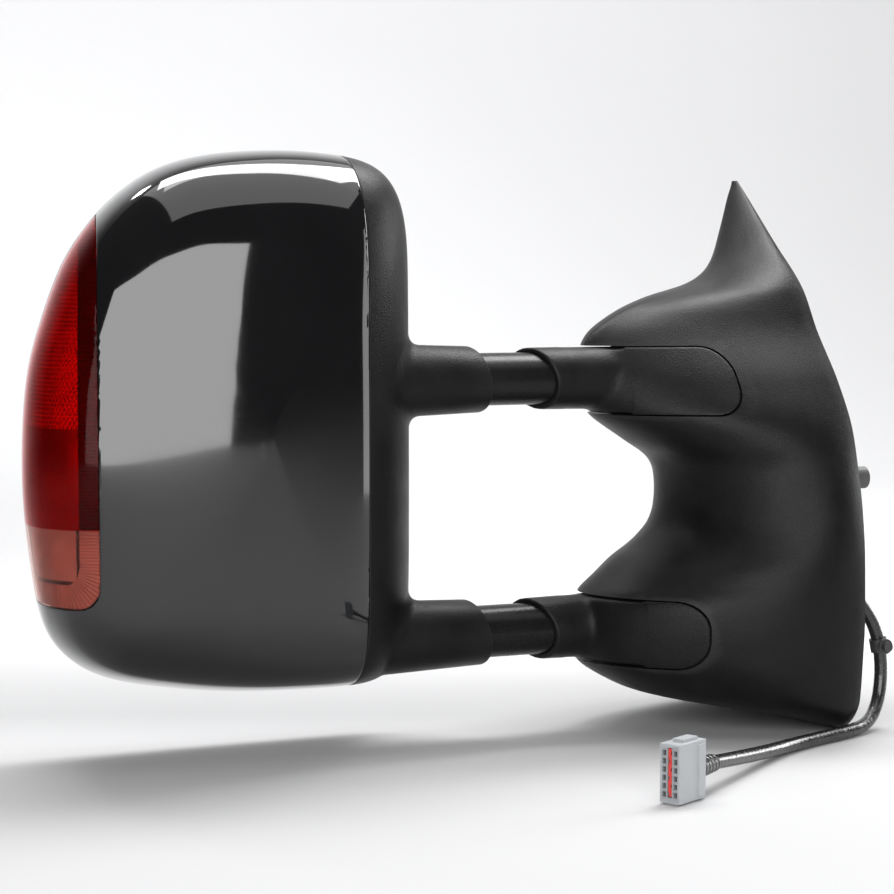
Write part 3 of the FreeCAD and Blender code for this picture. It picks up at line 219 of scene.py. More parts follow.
MAT["prism_line"] = stuff("prism_line", (0.26, 0.004, 0.004), (0.40, 0.008, 0.007), (0.12, 0.24), 700, 0.00003, metal=0.3, coat=0.5,
                          patch=30, strength=0.3)
MAT["prism_band"] = stuff("prism_band", (0.016, 0.001, 0.001), (0.030, 0.002, 0.001), (0.30, 0.42), 700, 0.00003, spec=0.1,
                          patch=30, strength=0.3)
MAT["prism_clear"] = stuff("prism_clear", (0.22, 0.11, 0.095), (0.34, 0.18, 0.155), (0.15, 0.25), 700, 0.00003, spec=0.3, coat=0.2,
                           patch=40, strength=0.3)

# wrinkled glossy sleeve of the cable
m, nt, p = tree("cable_sleeve")
v = coords(nt)
link(nt, ramp(nt, noise(nt, v, 120), (0.010, 0.010, 0.010), (0.020, 0.020, 0.021)), p.inputs["Base Color"])
crease = nt.nodes.new("ShaderNodeTexVoronoi")
crease.feature = "DISTANCE_TO_EDGE"
crease.inputs["Scale"].default_value = 240
link(nt, v, crease.inputs["Vector"])
soft = bump(nt, noise(nt, v, 260, 3.0, 0.55), 0.45, 0.0008)
link(nt, bump(nt, crease.outputs["Distance"], 0.16, 0.0005, soft), p.inputs["Normal"])
link(nt, span(nt, noise(nt, v, 500), 0.16, 0.34), p.inputs["Roughness"])
p.inputs["Coat Weight"].default_value = 0.3
p.inputs["Coat Roughness"].default_value = 0.15
MAT["cable_sleeve"] = m

slot_of = {s["node"]: s["material_slot"] for s in frame["record"]["subparts"]}
for n, o in NODES.items():
    mat = MAT[slot_of[n]]
    if not o.material_slots:
        o.data.materials.append(mat)
    for s in o.material_slots:
        s.material = mat


# ------------------------------------------------------------------ helpers
def mesh_object(name, verts, faces):
    me = bpy.data.meshes.new(name)
    me.from_pydata([tuple(float(c) for c in q) for q in verts], [], [tuple(f) for f in faces])
    me.update()
    o = bpy.data.objects.new(name, me)
    bpy.context.scene.collection.objects.link(o)
    return o


def bm_object(name, bm):
    me = bpy.data.meshes.new(name)
    bm.to_mesh(me)
    bm.free()
    o = bpy.data.objects.new(name, me)
    bpy.context.scene.collection.objects.link(o)
    return o


def bake(o):
    """Keeps what the modifiers make as the mesh itself."""
    dg = bpy.context.evaluated_depsgraph_get()
    me = bpy.data.meshes.new_from_object(o.evaluated_get(dg))
    old = o.data
    o.modifiers.clear()
    o.data = me
    bpy.data.meshes.remove(old)


def smooth(o, angle=35.0):
    for f in o.data.polygons:
        f.use_smooth = True
    o.data.set_sharp_from_angle(angle=math.radians(angle))


def outward(o):
    bm = bmesh.new()
    bm.from_mesh(o.data)
    bmesh.ops.recalc_face_normals(bm, faces=bm.faces)
    bm.to_mesh(o.data)
    bm.free()


def bevel(o, width, segments=2, angle=40.0):
    b = o.modifiers.new("bevel", "BEVEL")
    b.width = width
    b.segments = segments
    b.limit_method = "ANGLE"
    b.angle_limit = math.radians(angle)
    b.use_clamp_overlap = True
    bake(o)


def solidify(o, t, roll=0.00026):
    """Gives an open piece of the head skin a wall of even thickness, along the whole skin's own normals."""
    bm = bmesh.new()
    bm.from_mesh(o.data)
    bmesh.ops.remove_doubles(bm, verts=bm.verts, dist=4e-5)
    bmesh.ops.dissolve_degenerate(bm, edges=bm.edges, dist=2e-5)
    outer = list(bm.verts)
    faces_ = list(bm.faces)
    rim = [e for e in bm.edges if len(e.link_faces) == 1]
    inner = {}
    for v_ in outer:
        inner[v_] = bm.verts.new(v_.co - skin_normal(v_.co) * t)
    for v_ in {q for e in rim for q in e.verts}:
        v_.co = v_.co - skin_normal(v_.co) * roll
    for f_ in faces_:
        bm.faces.new([inner[q] for q in reversed(f_.verts)])
    for e in rim:
        f_ = e.link_faces[0]
        loop_ = [lp for lp in f_.loops if lp.edge == e][0]
        p0, p1 = loop_.vert, loop_.link_loop_next.vert
        bm.faces.new([p1, p0, inner[p0], inner[p1]])
    bm.to_mesh(o.data)
    bm.free()
    o.data.update()


def boolean(o, tool, op="DIFFERENCE", solver="EXACT"):
    b = o.modifiers.new("bool", "BOOLEAN")
    b.object = tool
    b.operation = op
    b.solver = solver
    bake(o)


def drop(*objs):
    for o in objs:
        me = o.data
        bpy.data.objects.remove(o)
        bpy.data.meshes.remove(me)


def join(name, objs):
    bm = bmesh.new()
    for o in objs:
        bm.from_mesh(o.data)
    drop(*objs)
    return bm_object(name, bm)


def put(o, mat, body, *replaced, slot=None):
    if mat:
        o.data.materials.clear()
        o.data.materials.append(MAT[mat])
    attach(o, body)
    if replaced:
        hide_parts(*replaced)


def tbl(table, z):
    if z <= table[0][0]:
        return table[0][1]
    if z >= table[-1][0]:
        return table[-1][1]
    n = len(table)
    for i in range(n - 1):
        if table[i][0] <= z <= table[i + 1][0]:
            break
    (z0, v0), (z1, v1) = table[i], table[i + 1]

    def slope(k):
        if k <= 0 or k >= n - 1:
            return None
        a = (table[k][1] - table[k - 1][1]) / (table[k][0] - table[k - 1][0])
        b = (table[k + 1][1] - table[k][1]) / (table[k + 1][0] - table[k][0])
        return 0.0 if a * b <= 0 else 2 * a * b / (a + b)
    d = (v1 - v0) / (z1 - z0)
    m0, m1 = slope(i), slope(i + 1)
    m0 = d if m0 is None else m0
    m1 = d if m1 is None else m1
    w = z1 - z0
    s = (z - z0) / w
    return ((1 + 2 * s) * (1 - s) ** 2 * v0 + s * (1 - s) ** 2 * w * m0
            + s * s * (3 - 2 * s) * v1 + s * s * (s - 1) * w * m1)


def spline(points, closed, count):
    """Evenly spaced points on a C2 cubic through the given ones."""
    p = np.array(points, float)
    if closed:
        p = np.vstack([p, p[:1]])
    h = np.sqrt(((p[1:] - p[:-1]) ** 2).sum(1)) ** 0.75
    n = len(p)
    if closed:
        k = n - 1
        A = np.zeros((k, k))
        R = np.zeros((k, p.shape[1]))
        for i in range(k):
            hm, hp = h[(i - 1) % k], h[i]
            A[i, (i - 1) % k] += hm
            A[i, i] += 2 * (hm + hp)
            A[i, (i + 1) % k] += hp
            R[i] = 6 * ((p[(i + 1) % k] - p[i]) / hp - (p[i] - p[(i - 1) % k]) / hm)
        M = np.linalg.solve(A, R)
        M = np.vstack([M, M[:1]])
    else:
        A = np.eye(n)
        R = np.zeros((n, p.shape[1]))
        for i in range(1, n - 1):
            A[i, i - 1], A[i, i], A[i, i + 1] = h[i - 1], 2 * (h[i - 1] + h[i]), h[i]
            R[i] = 6 * ((p[i + 1] - p[i]) / h[i] - (p[i] - p[i - 1]) / h[i - 1])
        M = np.linalg.solve(A, R)
    dense = []
    for i in range(n - 1):
        for s in np.linspace(0, 1, 40, endpoint=False):
            a, b = (1 - s) * h[i], s * h[i]
            dense.append(M[i] * a ** 3 / (6 * h[i]) + M[i + 1] * b ** 3 / (6 * h[i])
                         + (p[i] / h[i] - M[i] * h[i] / 6) * a + (p[i + 1] / h[i] - M[i + 1] * h[i] / 6) * b)
    dense.append(p[-1])
    dense = np.array(dense)
    step = np.sqrt(((dense[1:] - dense[:-1]) ** 2).sum(1))
    arc = np.concatenate([[0], np.cumsum(step)])
    want = np.linspace(0, arc[-1], count + (1 if closed else 0))
    out = np.stack([np.interp(want, arc, dense[:, c]) for c in range(p.shape[1])], 1)
    return out[:-1] if closed else out


# ---------------------------------------------------------------- head skin
OUTLINE = [(-551, -8), (-549.5, 29), (-545, 61), (-537, 87), (-528, 111), (-519, 129), (-509, 143), (-496, 158),
           (-480, 171.5), (-460, 183.5), (-430, 192), (-400, 195.3), (-370, 196), (-340, 194), (-320, 190.5), (-306, 184.5),
           (-295, 173), (-289, 158), (-286, 139), (-285, 100), (-284.5, 40), (-284.5, -40), (-285, -100),
           (-287, -128), (-293, -146), (-306, -157.5), (-324, -161.5), (-363, -162), (-416, -160), (-467, -153),
           (-501, -144.5), (-521, -133), (-535, -117), (-541.5, -100), (-547, -66), (-550, -38)]
HX, HZ = -410.0, 15.0
DEPTHS = [55, 40, 25, 10, -5, -18, -29, -38, -45, -50, -53.2, -55, -55.8]
LEFT = [-543.5, -547, -549.8, -551, -549.5, -544.5, -535.5, -522.5, -505, -483, -459, -434, -417]
RIGHT = [-284, -284.3, -288, -293.5, -299.3, -307.5, -317.5, -329, -342, -357, -373, -390, -402]
TOP = [193.5, 195.6, 196, 195, 192, 186, 177, 165, 149, 129, 104, 70, 38]
BOTTOM = [-160, -161.6, -161, -158.4, -155.2, -151, -144, -133, -118, -99, -75, -42, -8]
NI, NJ = 420, 96
ring = spline(OUTLINE, True, NI)
rows = spline(list(zip(DEPTHS, LEFT, RIGHT, TOP, BOTTOM)), False, NJ)


def soften(a, passes, axis, periodic):
    for _ in range(passes):
        if periodic:
            a = 0.5 * a + 0.25 * (np.roll(a, 1, axis) + np.roll(a, -1, axis))
        else:
            b = a.copy()
            b[1:-1] = 0.5 * a[1:-1] + 0.25 * (a[:-2] + a[2:])
            a = b
    return a


ring = soften(ring, 6, 0, True)
rows = soften(rows, 4, 0, False)
grid = np.zeros((NJ, NI, 3))
for j, (yy, l, r, t, b) in enumerate(rows):
    sl, sr = (l - HX) / (-551.0 - HX), (r - HX) / (-284.5 - HX)
    st, sb = (t - HZ) / (196.0 - HZ), (b - HZ) / (-162.0 - HZ)
    grid[j, :, 0] = HX + (ring[:, 0] - HX) * np.where(ring[:, 0] > HX, sr, sl)
    grid[j, :, 1] = yy
    grid[j, :, 2] = HZ + (ring[:, 1] - HZ) * np.where(ring[:, 1] > HZ, st, sb)
grid = soften(grid, 8, 1, True)
centre = np.array([grid[-1, :, 0].mean(), -56.05, grid[-1, :, 2].mean()])
extra = []
for k in range(1, 7):
    s = 1 - k / 7.0
    g = centre + (grid[-1] - centre) * s
    g[:, 1] = -56.05 + (grid[-1, 0, 1] + 56.05) * s ** 2
    extra.append(g)
grid = np.concatenate([grid, np.array(extra)])
ROWS = len(grid)


def head_skin(rear=False):
    verts = (grid.reshape(-1, 3) * MM).tolist() + [(centre * MM).tolist()]
    faces = []
    for j in range(ROWS - 1):
        for i in range(NI):
            k = (i + 1) % NI
            faces.append((j * NI + i, j * NI + k, (j + 1) * NI + k, (j + 1) * NI + i))
    last = len(verts) - 1
    for i in range(NI):
        faces.append(((ROWS - 1) * NI + i, (ROWS - 1) * NI + (i + 1) % NI, last))
    o = mesh_object("skin", verts, faces)
    bm = bmesh.new()
    bm.from_mesh(o.data)
    drop(o)
    # outward is away from the middle of the head
    mid = Vector((-0.41, 0.03, 0.015))
    f = bm.faces[NI // 3 + 20 * NI] if False else None
    bm.faces.ensure_lookup_table()
    f = bm.faces[(NJ // 2) * NI]
    if (f.calc_center_median() - mid).dot(f.normal) < 0:
        bmesh.ops.reverse_faces(bm, faces=bm.faces)
    return bm


def kd_of_skin():
    verts = (grid.reshape(-1, 3) * MM)
    du = np.roll(grid, -1, 1) - np.roll(grid, 1, 1)
    dv = np.gradient(grid, axis=0)
    nn = np.cross(du, dv).reshape(-1, 3)
    nn /= np.maximum(np.linalg.norm(nn, axis=1), 1e-12)[:, None]
    mid = np.array([-0.41, 0.03, 0.015])
    k = (NJ // 2) * NI
    if np.dot(nn[k], verts[k] - mid) < 0:
        nn = -nn
    kd = KDTree(len(verts))
    for i, q in enumerate(verts):
        kd.insert(Vector(q), i)
    kd.balance()
    return kd, nn


SKIN_KD, SKIN_N = kd_of_skin()


def skin_normal(co):
    total = np.zeros(3)
    for q, i, d in SKIN_KD.find_n(co, 4):
        total += SKIN_N[i] / (d + 1e-5)
    total /= np.linalg.norm(total)
    return Vector(total)


def split(bm, co, no, clear=False, only=None):
    geom = list(bm.verts) + list(bm.edges) + list(bm.faces)
    if only is not None:
        fs = [f for f in bm.faces if only(f.calc_center_median())]
        es = {e for f in fs for e in f.edges}
        vs = {v for f in fs for v in f.verts}
        geom = list(vs) + list(es) + fs
    bmesh.ops.bisect_plane(bm, geom=geom, plane_co=co, plane_no=no, clear_outer=clear, dist=1e-7)


LCX, LCZ, LR = -0.530, -0.0775, 0.014
PLANES = [(math.cos(math.radians(a)), math.sin(math.radians(a))) for a in range(0, -91, -15)]


LEAN = 0.233        # the seam plane leans inboard towards the rear


def lens_planes(grow):
    return [(Vector((LCX + c * (LR + grow), -0.041, LCZ + s * (LR + grow))), Vector((c, -LEAN * c, s)).normalized())
            for c, s in PLANES]


def in_lens(q, grow):
    return all((q - co).dot(no) < 0 for co, no in lens_planes(grow))


near = lambda q: q.x < -0.48 and q.y < 0.045
# gloss skull cap
bm = head_skin()
split(bm, (-0.34125, 0, 0), (1, 0, 0), True)
split(bm, (-0.34185, 0, 0), (1, 0, 0))
split(bm, (0, 0.03375, 0), (0, 1, 0), True)
split(bm, (0, 0.03315, 0), (0, 1, 0))
for co, no in lens_planes(0.00025) + lens_planes(0.00085):
    split(bm, co, no, False, near)
bmesh.ops.delete(bm, geom=[f for f in bm.faces if in_lens(f.calc_center_median(), 0.00025)], context="FACES")
cap = bm_object("skull_cap_gloss", bm)
solidify(cap, 0.0029)
smooth(cap, 30)
put(cap, "gloss_black", "head", "skull_cap")

# clear red lens and the prism sheet behind it
bm = head_skin()
split(bm, (0, 0.03375, 0), (0, 1, 0), True)
split(bm, (0, 0.03315, 0), (0, 1, 0))
for co, no in lens_planes(-0.00025):
    split(bm, co, no, True)
for co, no in lens_planes(-0.00085):
    split(bm, co, no)
lens = bm_object("signal_lens_clear", bm)
solidify(lens, 0.0014)
smooth(lens, 30)
put(lens, "red_lens", "head", "signal_lens")
bvh_skin = BVHTree.FromBMesh(head_skin())


def relief(x, z, w):
    """Prism height in mm: x along the head, z up, w the way round the side."""
    if z < -41.7:
        # clear corner: a plain field, a curved valley, then ribs fanning round the corner
        cx, cz, rr = -541.0, -66.0, 11.0
        if x > -529.5 or z < -76.5 or (x > cx and z < cz and math.hypot(x - cx, z - cz) > rr):
            if x > cx and z < cz:
                fan = math.atan2(z - cz, x - cx) * 9.5
            elif x > cx:
                fan = z / 2.0
            else:
                fan = x / 2.0
            return 0.7 * abs((fan % 1.0) * 2 - 1), 3
        if x > -532.0 or z < -73.8:
            return -0.5, 2
        return 0.10 * abs(((w / 1.3) % 1.0) * 2 - 1), 3
    if x > -529.5:
        return 0.45 * abs(((z / 2.1) % 1.0) * 2 - 1), 2
    if z > 20.4:
        s = 3.1
        a, b = w / s, z / (s * 0.866)
        r = round(b)
        best = 9.0
        for rr in (r - 1, r, r + 1):
            off = 0.5 * (rr % 2)
            c = round(a - off) + off
            for cc in (c - 1, c, c + 1):
                d = math.hypot((a - cc) * s, (b - rr) * s * 0.866)
                best = min(best, d)
        # Points near a cell's edge take zone 4, the material with the painted highlight.
        cell_edge_glint = best > s * 0.43
        return 0.85 * (1 - min(1.0, best / (s * 0.55))), (4 if cell_edge_glint else 0)
    if z > -41.7:
        return 0.28 * abs(((w / 1.7) % 1.0) * 2 - 1), 1
    return 0.0, 3


# the lens region as a fine grid: rows by z, columns the way round the skin
ZS = np.arange(-90.8, 168.0, 0.5)
COLS = 190
verts, faces, zone = [], [], []
section_cache = []
flat_rows = grid[:NJ]


def skin_row(z):
    """Outboard skin line at height z, from the rear seam round to the front."""
    out = []
    for g in flat_rows:
        x, zz = g[:, 0], g[:, 2]
        side = x < -440
        xs, zs = x[side], zz[side]
        if len(xs) < 4:
            continue
        order = np.argsort(zs)
        out.append((np.interp(z, zs[order], xs[order]), g[0, 1], zs.min(), zs.max()))
    return out


kept = []
for z in ZS:
    line = [(x, y) for x, y, lo, hi in skin_row(z) if lo + 0.5 < z < hi - 0.5 and y < 33.4]
    line = [q for q in line if q[0] - LEAN * (q[1] + 41.0) < -513.5]
    if len(line) < 6:
        kept.append(None)
        continue
    pts = np.array(line)
    seg = np.sqrt(((pts[1:] - pts[:-1]) ** 2).sum(1))
    arc = np.concatenate([[0], np.cumsum(seg)])
    lim = arc[-1]
    s = np.linspace(0, lim, COLS)
    kept.append((np.interp(s, arc, pts[:, 0]), np.interp(s, arc, pts[:, 1]), s))
prev = None
for z, row in zip(ZS, kept):
    if row is None:
        prev = None
        continue
    base = len(verts)
    xs, ys, s = row
    dx, dy = np.gradient(xs), np.gradient(ys)
    ln = np.hypot(dx, dy)
    nx, ny = -dy / ln, dx / ln          # inward of the skin line
    if nx[0] < 0:
        nx, ny = -nx, -ny
    for c in range(COLS):
        hgt, zn = relief(xs[c] - LEAN * (ys[c] + 41.0), z, s[c])
        off = 2.5 - hgt
        if xs[c] - LEAN * (ys[c] + 41.0) > -516.6:
            off, zn = 3.4, 2
        verts.append(((xs[c] + nx[c] * off) * MM, (ys[c] + ny[c] * off) * MM, z * MM))
        zone.append(zn)
    if prev is not None:
        for c in range(COLS - 1):
            q4 = (prev + c, prev + c + 1, base + c + 1, base + c)
            if all(in_lens(Vector(verts[q]), 0.0025 if verts[q][2] > -0.075 else -0.0003) for q in q4):
                faces.append(q4)
    prev = base
prism = mesh_object("signal_prism_sheet", verts, faces)
outward(prism)
for k in ("prism_hex", "prism_line", "prism_band", "prism_clear", "prism_edge_painted_glint"):
    prism.data.materials.append(MAT[k])
for f in prism.data.polygons:
    f.material_index = zone[f.vertices[0]]
    f.use_smooth = zone[f.vertices[0]] not in (0, 4)
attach(prism, "head")
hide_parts("signal_reflector")

# matte housing
bm = head_skin()
SX, SY = -0.34075, 0.03425
split(bm, (SX, 0, 0), (1, 0, 0))
split(bm, (0, SY, 0), (0, 1, 0))
split(bm, (SX + 0.0006, 0, 0), (1, 0, 0))
split(bm, (0, SY + 0.0006, 0), (0, 1, 0))
split(bm, (0, 0.0543, 0), (0, 1, 0))
bmesh.ops.delete(bm, geom=[f for f in bm.faces if f.calc_center_median().x < SX and f.calc_center_median().y < SY], context="FACES")
house = bm_object("head_housing_matte", bm)
solidify(house, 0.003)


def tube_mesh(name, loops, closed=True):
    """Closed ring of loops: each loop the same number of points; last joins first."""
    n = len(loops[0])
    verts = [q for lp in loops for q in lp]
    faces = []
    m_ = len(loops)
    for a in range(m_ if closed else m_ - 1):
        b = (a + 1) % m_
        for i in range(n):
            k = (i + 1) % n
            faces.append((a * n + i, a * n + k, b * n + k, b * n + i))
    o = mesh_object(name, verts, faces)
    outward(o)
    return o


def cylinder(name, r, x0, x1, y, z, n=96):
    a = [(x0, y + r * math.cos(t), z + r * math.sin(t)) for t in np.linspace(0, 2 * math.pi, n, endpoint=False)]
    b = [(x1, q[1], q[2]) for q in a]
    faces = [(i, (i + 1) % n, n + (i + 1) % n, n + i) for i in range(n)] + [tuple(range(n)), tuple(range(2 * n - 1, n - 1, -1))]
    o = mesh_object(name, a + b, faces)
    outward(o)
    return o


for zc in (UP, LOW):
    c = cylinder("bore", 0.0199, -0.36, -0.24, 0.0, zc * MM)
    boolean(house, c)
    drop(c)


def boss_radius(x):
    return 24.6 + (x + 318.0) / 75.0 * (22.0 - 24.6)


def skin_x(y, z):
    hit = bvh_skin.ray_cast(Vector((-0.15, y * MM, z * MM)), Vector((-1, 0, 0)))
    return hit[0].x / MM if hit[0] is not None else -330.0


pieces = [house]
N = 128
for zc in (UP, LOW):
    loops = [[] for _ in range(18)]
    turns = np.linspace(0, 2 * math.pi, N, endpoint=False)
    flare = []
    for t in turns:
        cy, cz = math.cos(t), math.sin(t)
        x0 = skin_x(24.3 * cy, zc + 24.3 * cz)
        f = 8.0
        while f > 0.8:
            xa = skin_x((24.3 + f) * cy, zc + (24.3 + f) * cz)
            if xa > x0 - (2.0 if cz > -0.25 else 0.9) * f - 1.0 and xa > -336.5:
                break
            f -= 0.4
        flare.append(f)
    flare = np.array(flare)
    for _ in range(4):
        flare = np.minimum(flare, np.minimum(np.roll(flare, 1), np.roll(flare, -1)))
    flare = soften(flare, 12, 0, True)
    for ti, t in enumerate(turns):
        cy, cz = math.cos(t), math.sin(t)

        def plane(r):
            return -251.5 - 0.26 * r * cy - 0.17 * r * cz
        f = flare[ti]
        x0 = skin_x(24.3 * cy, zc + 24.3 * cz)
        r0 = boss_radius(x0)
        xb = x0 + f
        pb = np.array([xb, boss_radius(xb)])
        p0 = np.array([x0 + 0.4, r0])
        ra = r0 + f
        pa = np.array([skin_x(ra * cy, zc + ra * cz) - 0.12, ra])
        prof = [(x0 - 6.0, 19.75), (plane(19.75) - 0.9, 19.75), (plane(20.4) - 0.1, 20.4)]
        xe = plane(22.0)
        re_ = boss_radius(xe)
        prof += [(xe - 0.1, re_ - 1.3), (xe - 0.5, re_ - 0.4), (xe - 1.5, boss_radius(xe - 1.5))]
        mid_x = 0.5 * (xe - 1.5 + xb)
        prof += [(mid_x, boss_radius(mid_x))]
        for s in (0.0, 0.14, 0.29, 0.43, 0.57, 0.71, 0.86, 1.0):
            q = (1 - s) ** 2 * pb + 2 * s * (1 - s) * p0 + s * s * pa
            prof.append((q[0], q[1]))
        prof += [(pa[0] - 1.2, pa[1] - 0.8), (pa[0] - 2.2, ra - 4.0), (x0 - 6.0, 21.0)]
        for k, (x, r) in enumerate(prof):
            loops[k].append((x * MM, r * cy * MM, (zc + r * cz) * MM))
    loops = [lp for lp in loops if lp]
    pieces.append(tube_mesh("boss", loops))


def block(name, lo, hi, width=0.0008):
    x0, y0, z0 = lo
    x1, y1, z1 = hi
    vs = [(x0, y0, z0), (x1, y0, z0), (x1, y1, z0), (x0, y1, z0), (x0, y0, z1), (x1, y0, z1), (x1, y1, z1), (x0, y1, z1)]
    fs = [(0, 3, 2, 1), (4, 5, 6, 7), (0, 1, 5, 4), (1, 2, 6, 5), (2, 3, 7, 6), (3, 0, 4, 7)]
    o = mesh_object(name, [tuple(c * MM for c in q) for q in vs], fs)
    bevel(o, width, 3)
    return o


pieces.append(block("divider", (-542.6, 40.0, -48.0), (-287.5, 54.0, -42.0), 0.0012))
house = join("head_housing_matte", pieces)
smooth(house, 32)
put(house, "textured_black", "head", "head_housing")

# --------------------------------------------------------------------- arms
for name, zc in (("upper_arm", UP), ("lower_arm", LOW)):
    src = NODES[name]
    o = bpy.data.objects.new(name + "_moulded", src.data.copy())
    bpy.context.scene.collection.objects.link(o)
    w = o.modifiers.new("weld", "WELD")
    w.merge_threshold = 1e-6
    r = o.modifiers.new("remesh", "REMESH")
    r.mode = "VOXEL"
    r.voxel_size = 0.0009
    r.adaptivity = 0.0
    bake(o)
    bm = bmesh.new()
    bm.from_mesh(o.data)
    bmesh.ops.smooth_vert(bm, verts=bm.verts, factor=0.5, use_axis_x=True, use_axis_y=True, use_axis_z=True)
    blend_v = [q for q in bm.verts if -0.186 < q.co.x < -0.146 and math.hypot(q.co.y, q.co.z - zc * MM) > 0.0183 and q.co.y < 0.03]
    for _ in range(60):
        bmesh.ops.smooth_vert(bm, verts=blend_v, factor=0.5, use_axis_x=True, use_axis_y=True, use_axis_z=True)
    bm.to_mesh(o.data)
    bm.free()
    for f in o.data.polygons:
        f.use_smooth = True
    put(o, "textured_black", "arms", name)

# -------------------------------------------------------------- cable and tape, up to the plug
ROUTE = [(8.0, -66.0, -108.0), (17.3, -66.2, -118.3), (24.6, -66.6, -132.5), (28.4, -67.0, -150.5), (28.0, -67.6, -170.0),
         (21.5, -72.2, -185.2), (8.0, -82.0, -193.4), (-14.0, -93.5, -194.6), (-42.0, -104.0, -194.6), (-74.0, -118.5, -194.2),
         (-106.0, -140.5, -191.8), (-140.0, -166.5, -187.4), (-171.0, -190.0, -183.0)]
cu = bpy.data.curves.new("harness_cable_run", "CURVE")
cu.dimensions = "3D"
sp = cu.splines.new("NURBS")
sp.points.add(len(ROUTE) - 1)
for q, pt in zip(ROUTE, sp.points):
    pt.co = (q[0] * MM, q[1] * MM, q[2] * MM, 1.0)
sp.order_u = 3
sp.use_endpoint_u = True
cu.resolution_u = 24
cu.bevel_depth = 0.0045
cu.bevel_resolution = 8
cu.use_fill_caps = True
cable = bpy.data.objects.new("harness_cable_run", cu)
bpy.context.scene.collection.objects.link(cable)
cu.materials.append(MAT["cable_sleeve"])
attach(cable, "base")
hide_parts("harness_cable")

# tape wound round the end of the cable, up to the plug
CU = Vector((0.883, 0.469, 0.0))
CFOOT = Vector((-0.216, -0.219, FLOOR))
end = Vector(ROUTE[-1]) * MM
face = CFOOT + CU * 0.028 + Vector((0, 0, 0.0174))
axis = face - end
run = axis.length
axis.normalize()
side = axis.cross(Vector((0, 0, 1))).normalized()
upv = side.cross(axis)
loops = []
M_ = 72
steps = 64
for k in range(steps + 1):
    s = k / steps
    lp = []
    for i in range(M_):
        t = 2 * math.pi * i / M_
        turn = (s * run / 0.0052 + i / M_) % 1.0
        r = 0.0052 + 0.0009 * s + 0.00038 * turn
        if k == 0:
            r = 0.0048
        c = end + axis * (run * s)
        lp.append(tuple(c + side * (r * math.cos(t)) + upv * (r * math.sin(t))))
    loops.append(lp)
inner = []
for s in (1.0, 0.0):
    inner.append([tuple(end + axis * (run * s) + side * (0.0044 * math.cos(2 * math.pi * i / M_))
                        + upv * (0.0044 * math.sin(2 * math.pi * i / M_))) for i in range(M_)])
wrap = tube_mesh("cable_tape_wrap", loops + inner)
smooth(wrap, 50)
put(wrap, "cable_sleeve", "base", "cable_wrap")

# -------------------------------------------------------------- the set-up
m, nt, p = tree("paper_sweep_painted_shade")
v = coords(nt)
geo = nt.nodes.new("ShaderNodeNewGeometry")
dot = nt.nodes.new("ShaderNodeVectorMath")
dot.operation = "DOT_PRODUCT"
dot.inputs[1].default_value = (0.375, 0.927, 0.0)
link(nt, geo.outputs["Position"], dot.inputs[0])
far = nt.nodes.new("ShaderNodeMapRange")
for key, val in (("From Min", -0.6), ("From Max", 2.8), ("To Min", 0.0), ("To Max", 1.0)):
    far.inputs[key].default_value = val
link(nt, dot.outputs["Value"], far.inputs["Value"])
# Painted shade on the paper, by depth from the camera: a painted shadow band at the object's depth (about 0 m), a
# little lighter in front of it, and lighter towards and up the backdrop.
paper_shade_ramp = nt.nodes.new("ShaderNodeValToRGB")
painted_shade_tones = ((0.0, 0.47), (0.118, 0.47), (0.147, 0.44), (0.1735, 0.37), (0.206, 0.41), (0.25, 0.50), (0.47, 0.54), (0.794, 0.76))
while len(paper_shade_ramp.color_ramp.elements) < len(painted_shade_tones):
    paper_shade_ramp.color_ramp.elements.new(0.5)
for k, (at, c) in enumerate(painted_shade_tones):
    paper_shade_ramp.color_ramp.elements[k].position = at
for el, (at, c) in zip(paper_shade_ramp.color_ramp.elements, painted_shade_tones):
    el.position = at
    el.color = (c, c, c * 1.01, 1)
link(nt, far.outputs["Result"], paper_shade_ramp.inputs["Fac"])
link(nt, paper_shade_ramp.outputs["Color"], p.inputs["Base Color"])
link(nt, bump(nt, noise(nt, v, 900), 0.1, 0.0001), p.inputs["Normal"])
p.inputs["Roughness"].default_value = 0.75
p.inputs["Specular IOR Level"].default_value = 0.2
prof = [(-4.0, FLOOR), (1.6, FLOOR)]
for k in range(1, 13):
    a = math.pi / 2 * k / 12
    prof.append((1.6 + 1.2 * math.sin(a), FLOOR + 1.2 * (1 - math.cos(a))))
prof.append((2.8, 4.0))
verts, faces = [], []
for y, z in prof:
    verts += [(-5.0, y, z), (5.0, y, z)]
for k in range(len(prof) - 1):
    faces.append((2 * k, 2 * k + 1, 2 * k + 3, 2 * k + 2))
sweep = mesh_object("paper_sweep_painted_shade", verts, faces)
sweep.data.materials.append(m)
for f in sweep.data.polygons:
    f.use_smooth = True

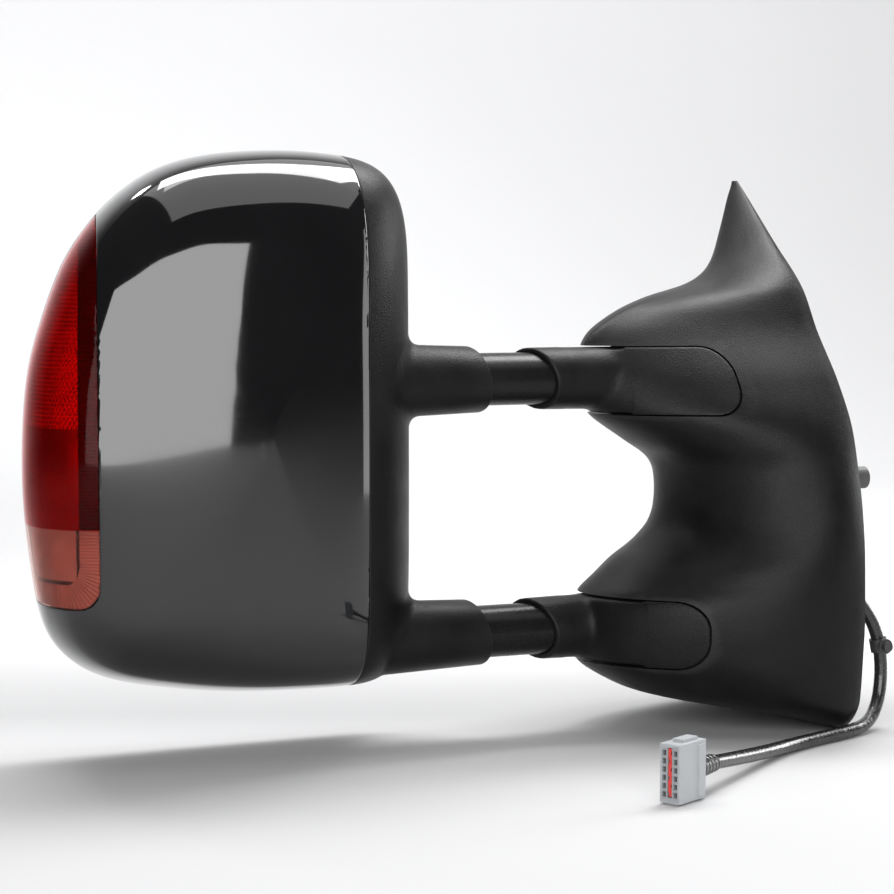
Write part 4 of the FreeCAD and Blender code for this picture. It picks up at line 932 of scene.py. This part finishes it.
world = bpy.data.worlds.new("studio")
world.use_nodes = True
wn = world.node_tree
bg = wn.nodes["Background"]
bg.inputs["Color"].default_value = (0.95, 0.97, 1.0, 1)
bg.inputs["Strength"].default_value = 0.07
pale = wn.nodes.new("ShaderNodeBackground")
pale.inputs["Color"].default_value = (0.97, 0.975, 0.98, 1)
pale.inputs["Strength"].default_value = 0.93
lp = wn.nodes.new("ShaderNodeLightPath")
wm = wn.nodes.new("ShaderNodeMixShader")
wn.links.new(lp.outputs["Is Camera Ray"], wm.inputs["Fac"])
wn.links.new(bg.outputs["Background"], wm.inputs[1])
wn.links.new(pale.outputs["Background"], wm.inputs[2])
wn.links.new(wm.outputs["Shader"], wn.nodes["World Output"].inputs["Surface"])
bpy.context.scene.world = world


def softbox(name, at, look, w, h, power, shape="RECTANGLE"):
    d = bpy.data.lights.new(name, "AREA")
    d.shape = shape
    d.size, d.size_y = w, h
    d.energy = power
    o = bpy.data.objects.new(name, d)
    bpy.context.scene.collection.objects.link(o)
    o.location = at
    o.rotation_euler = (Vector(look) - Vector(at)).to_track_quat("-Z", "Y").to_euler()
    return o


def aimed(name, at, azimuth, elevation, far, w, h, power):
    """A box seen from a point of the object: azimuth is to the left of straight ahead."""
    a, e = math.radians(azimuth), math.radians(elevation)
    d = Vector((-math.sin(a) * math.cos(e), -math.cos(a) * math.cos(e), math.sin(e)))
    o = softbox(name, Vector(at) + d * far, at, w, h, power)
    o.visible_camera = False
    return o


CAPC = (-0.45, -0.05, 0.05)
aimed("key_box", CAPC, 18.0, 12.2, 2.3, 2.60, 1.60, 70)
aimed("top_box", (-0.40, 0.0, 0.18), -150.0, 70.0, 1.35, 1.50, 0.42, 17)
aimed("edge_box", (-0.34, -0.045, 0.0), -64.0, 6.0, 1.7, 0.22, 1.1, 2)
aimed("spark", (-0.48, -0.01, 0.166), 161.0, 44.0, 1.2, 0.10, 0.10, 1.2)
aimed("right_box", (-0.20, 0.0, 0.05), -118.0, 58.0, 1.5, 0.6, 0.9, 16)
aimed("side_box", (-0.30, 0.0, 0.05), -98.0, 9.0, 1.7, 0.5, 0.8, 11)
aimed("ceiling", (-0.3, 0.0, 0.0), -90.0, 82.0, 2.6, 3.6, 3.2, 52)
softbox("back_wash", (1.35, 0.9, 2.6), (1.35, 2.6, 0.4), 5.0, 1.0, 58).visible_camera = False
softbox("back_wash_low", (-0.2, 0.9, 2.4), (0.3, 1.6, -0.2), 4.0, 0.8, 1).visible_camera = False
bpy.context.scene.view_settings.view_transform = "Standard"
bpy.context.scene.view_settings.look = "None"

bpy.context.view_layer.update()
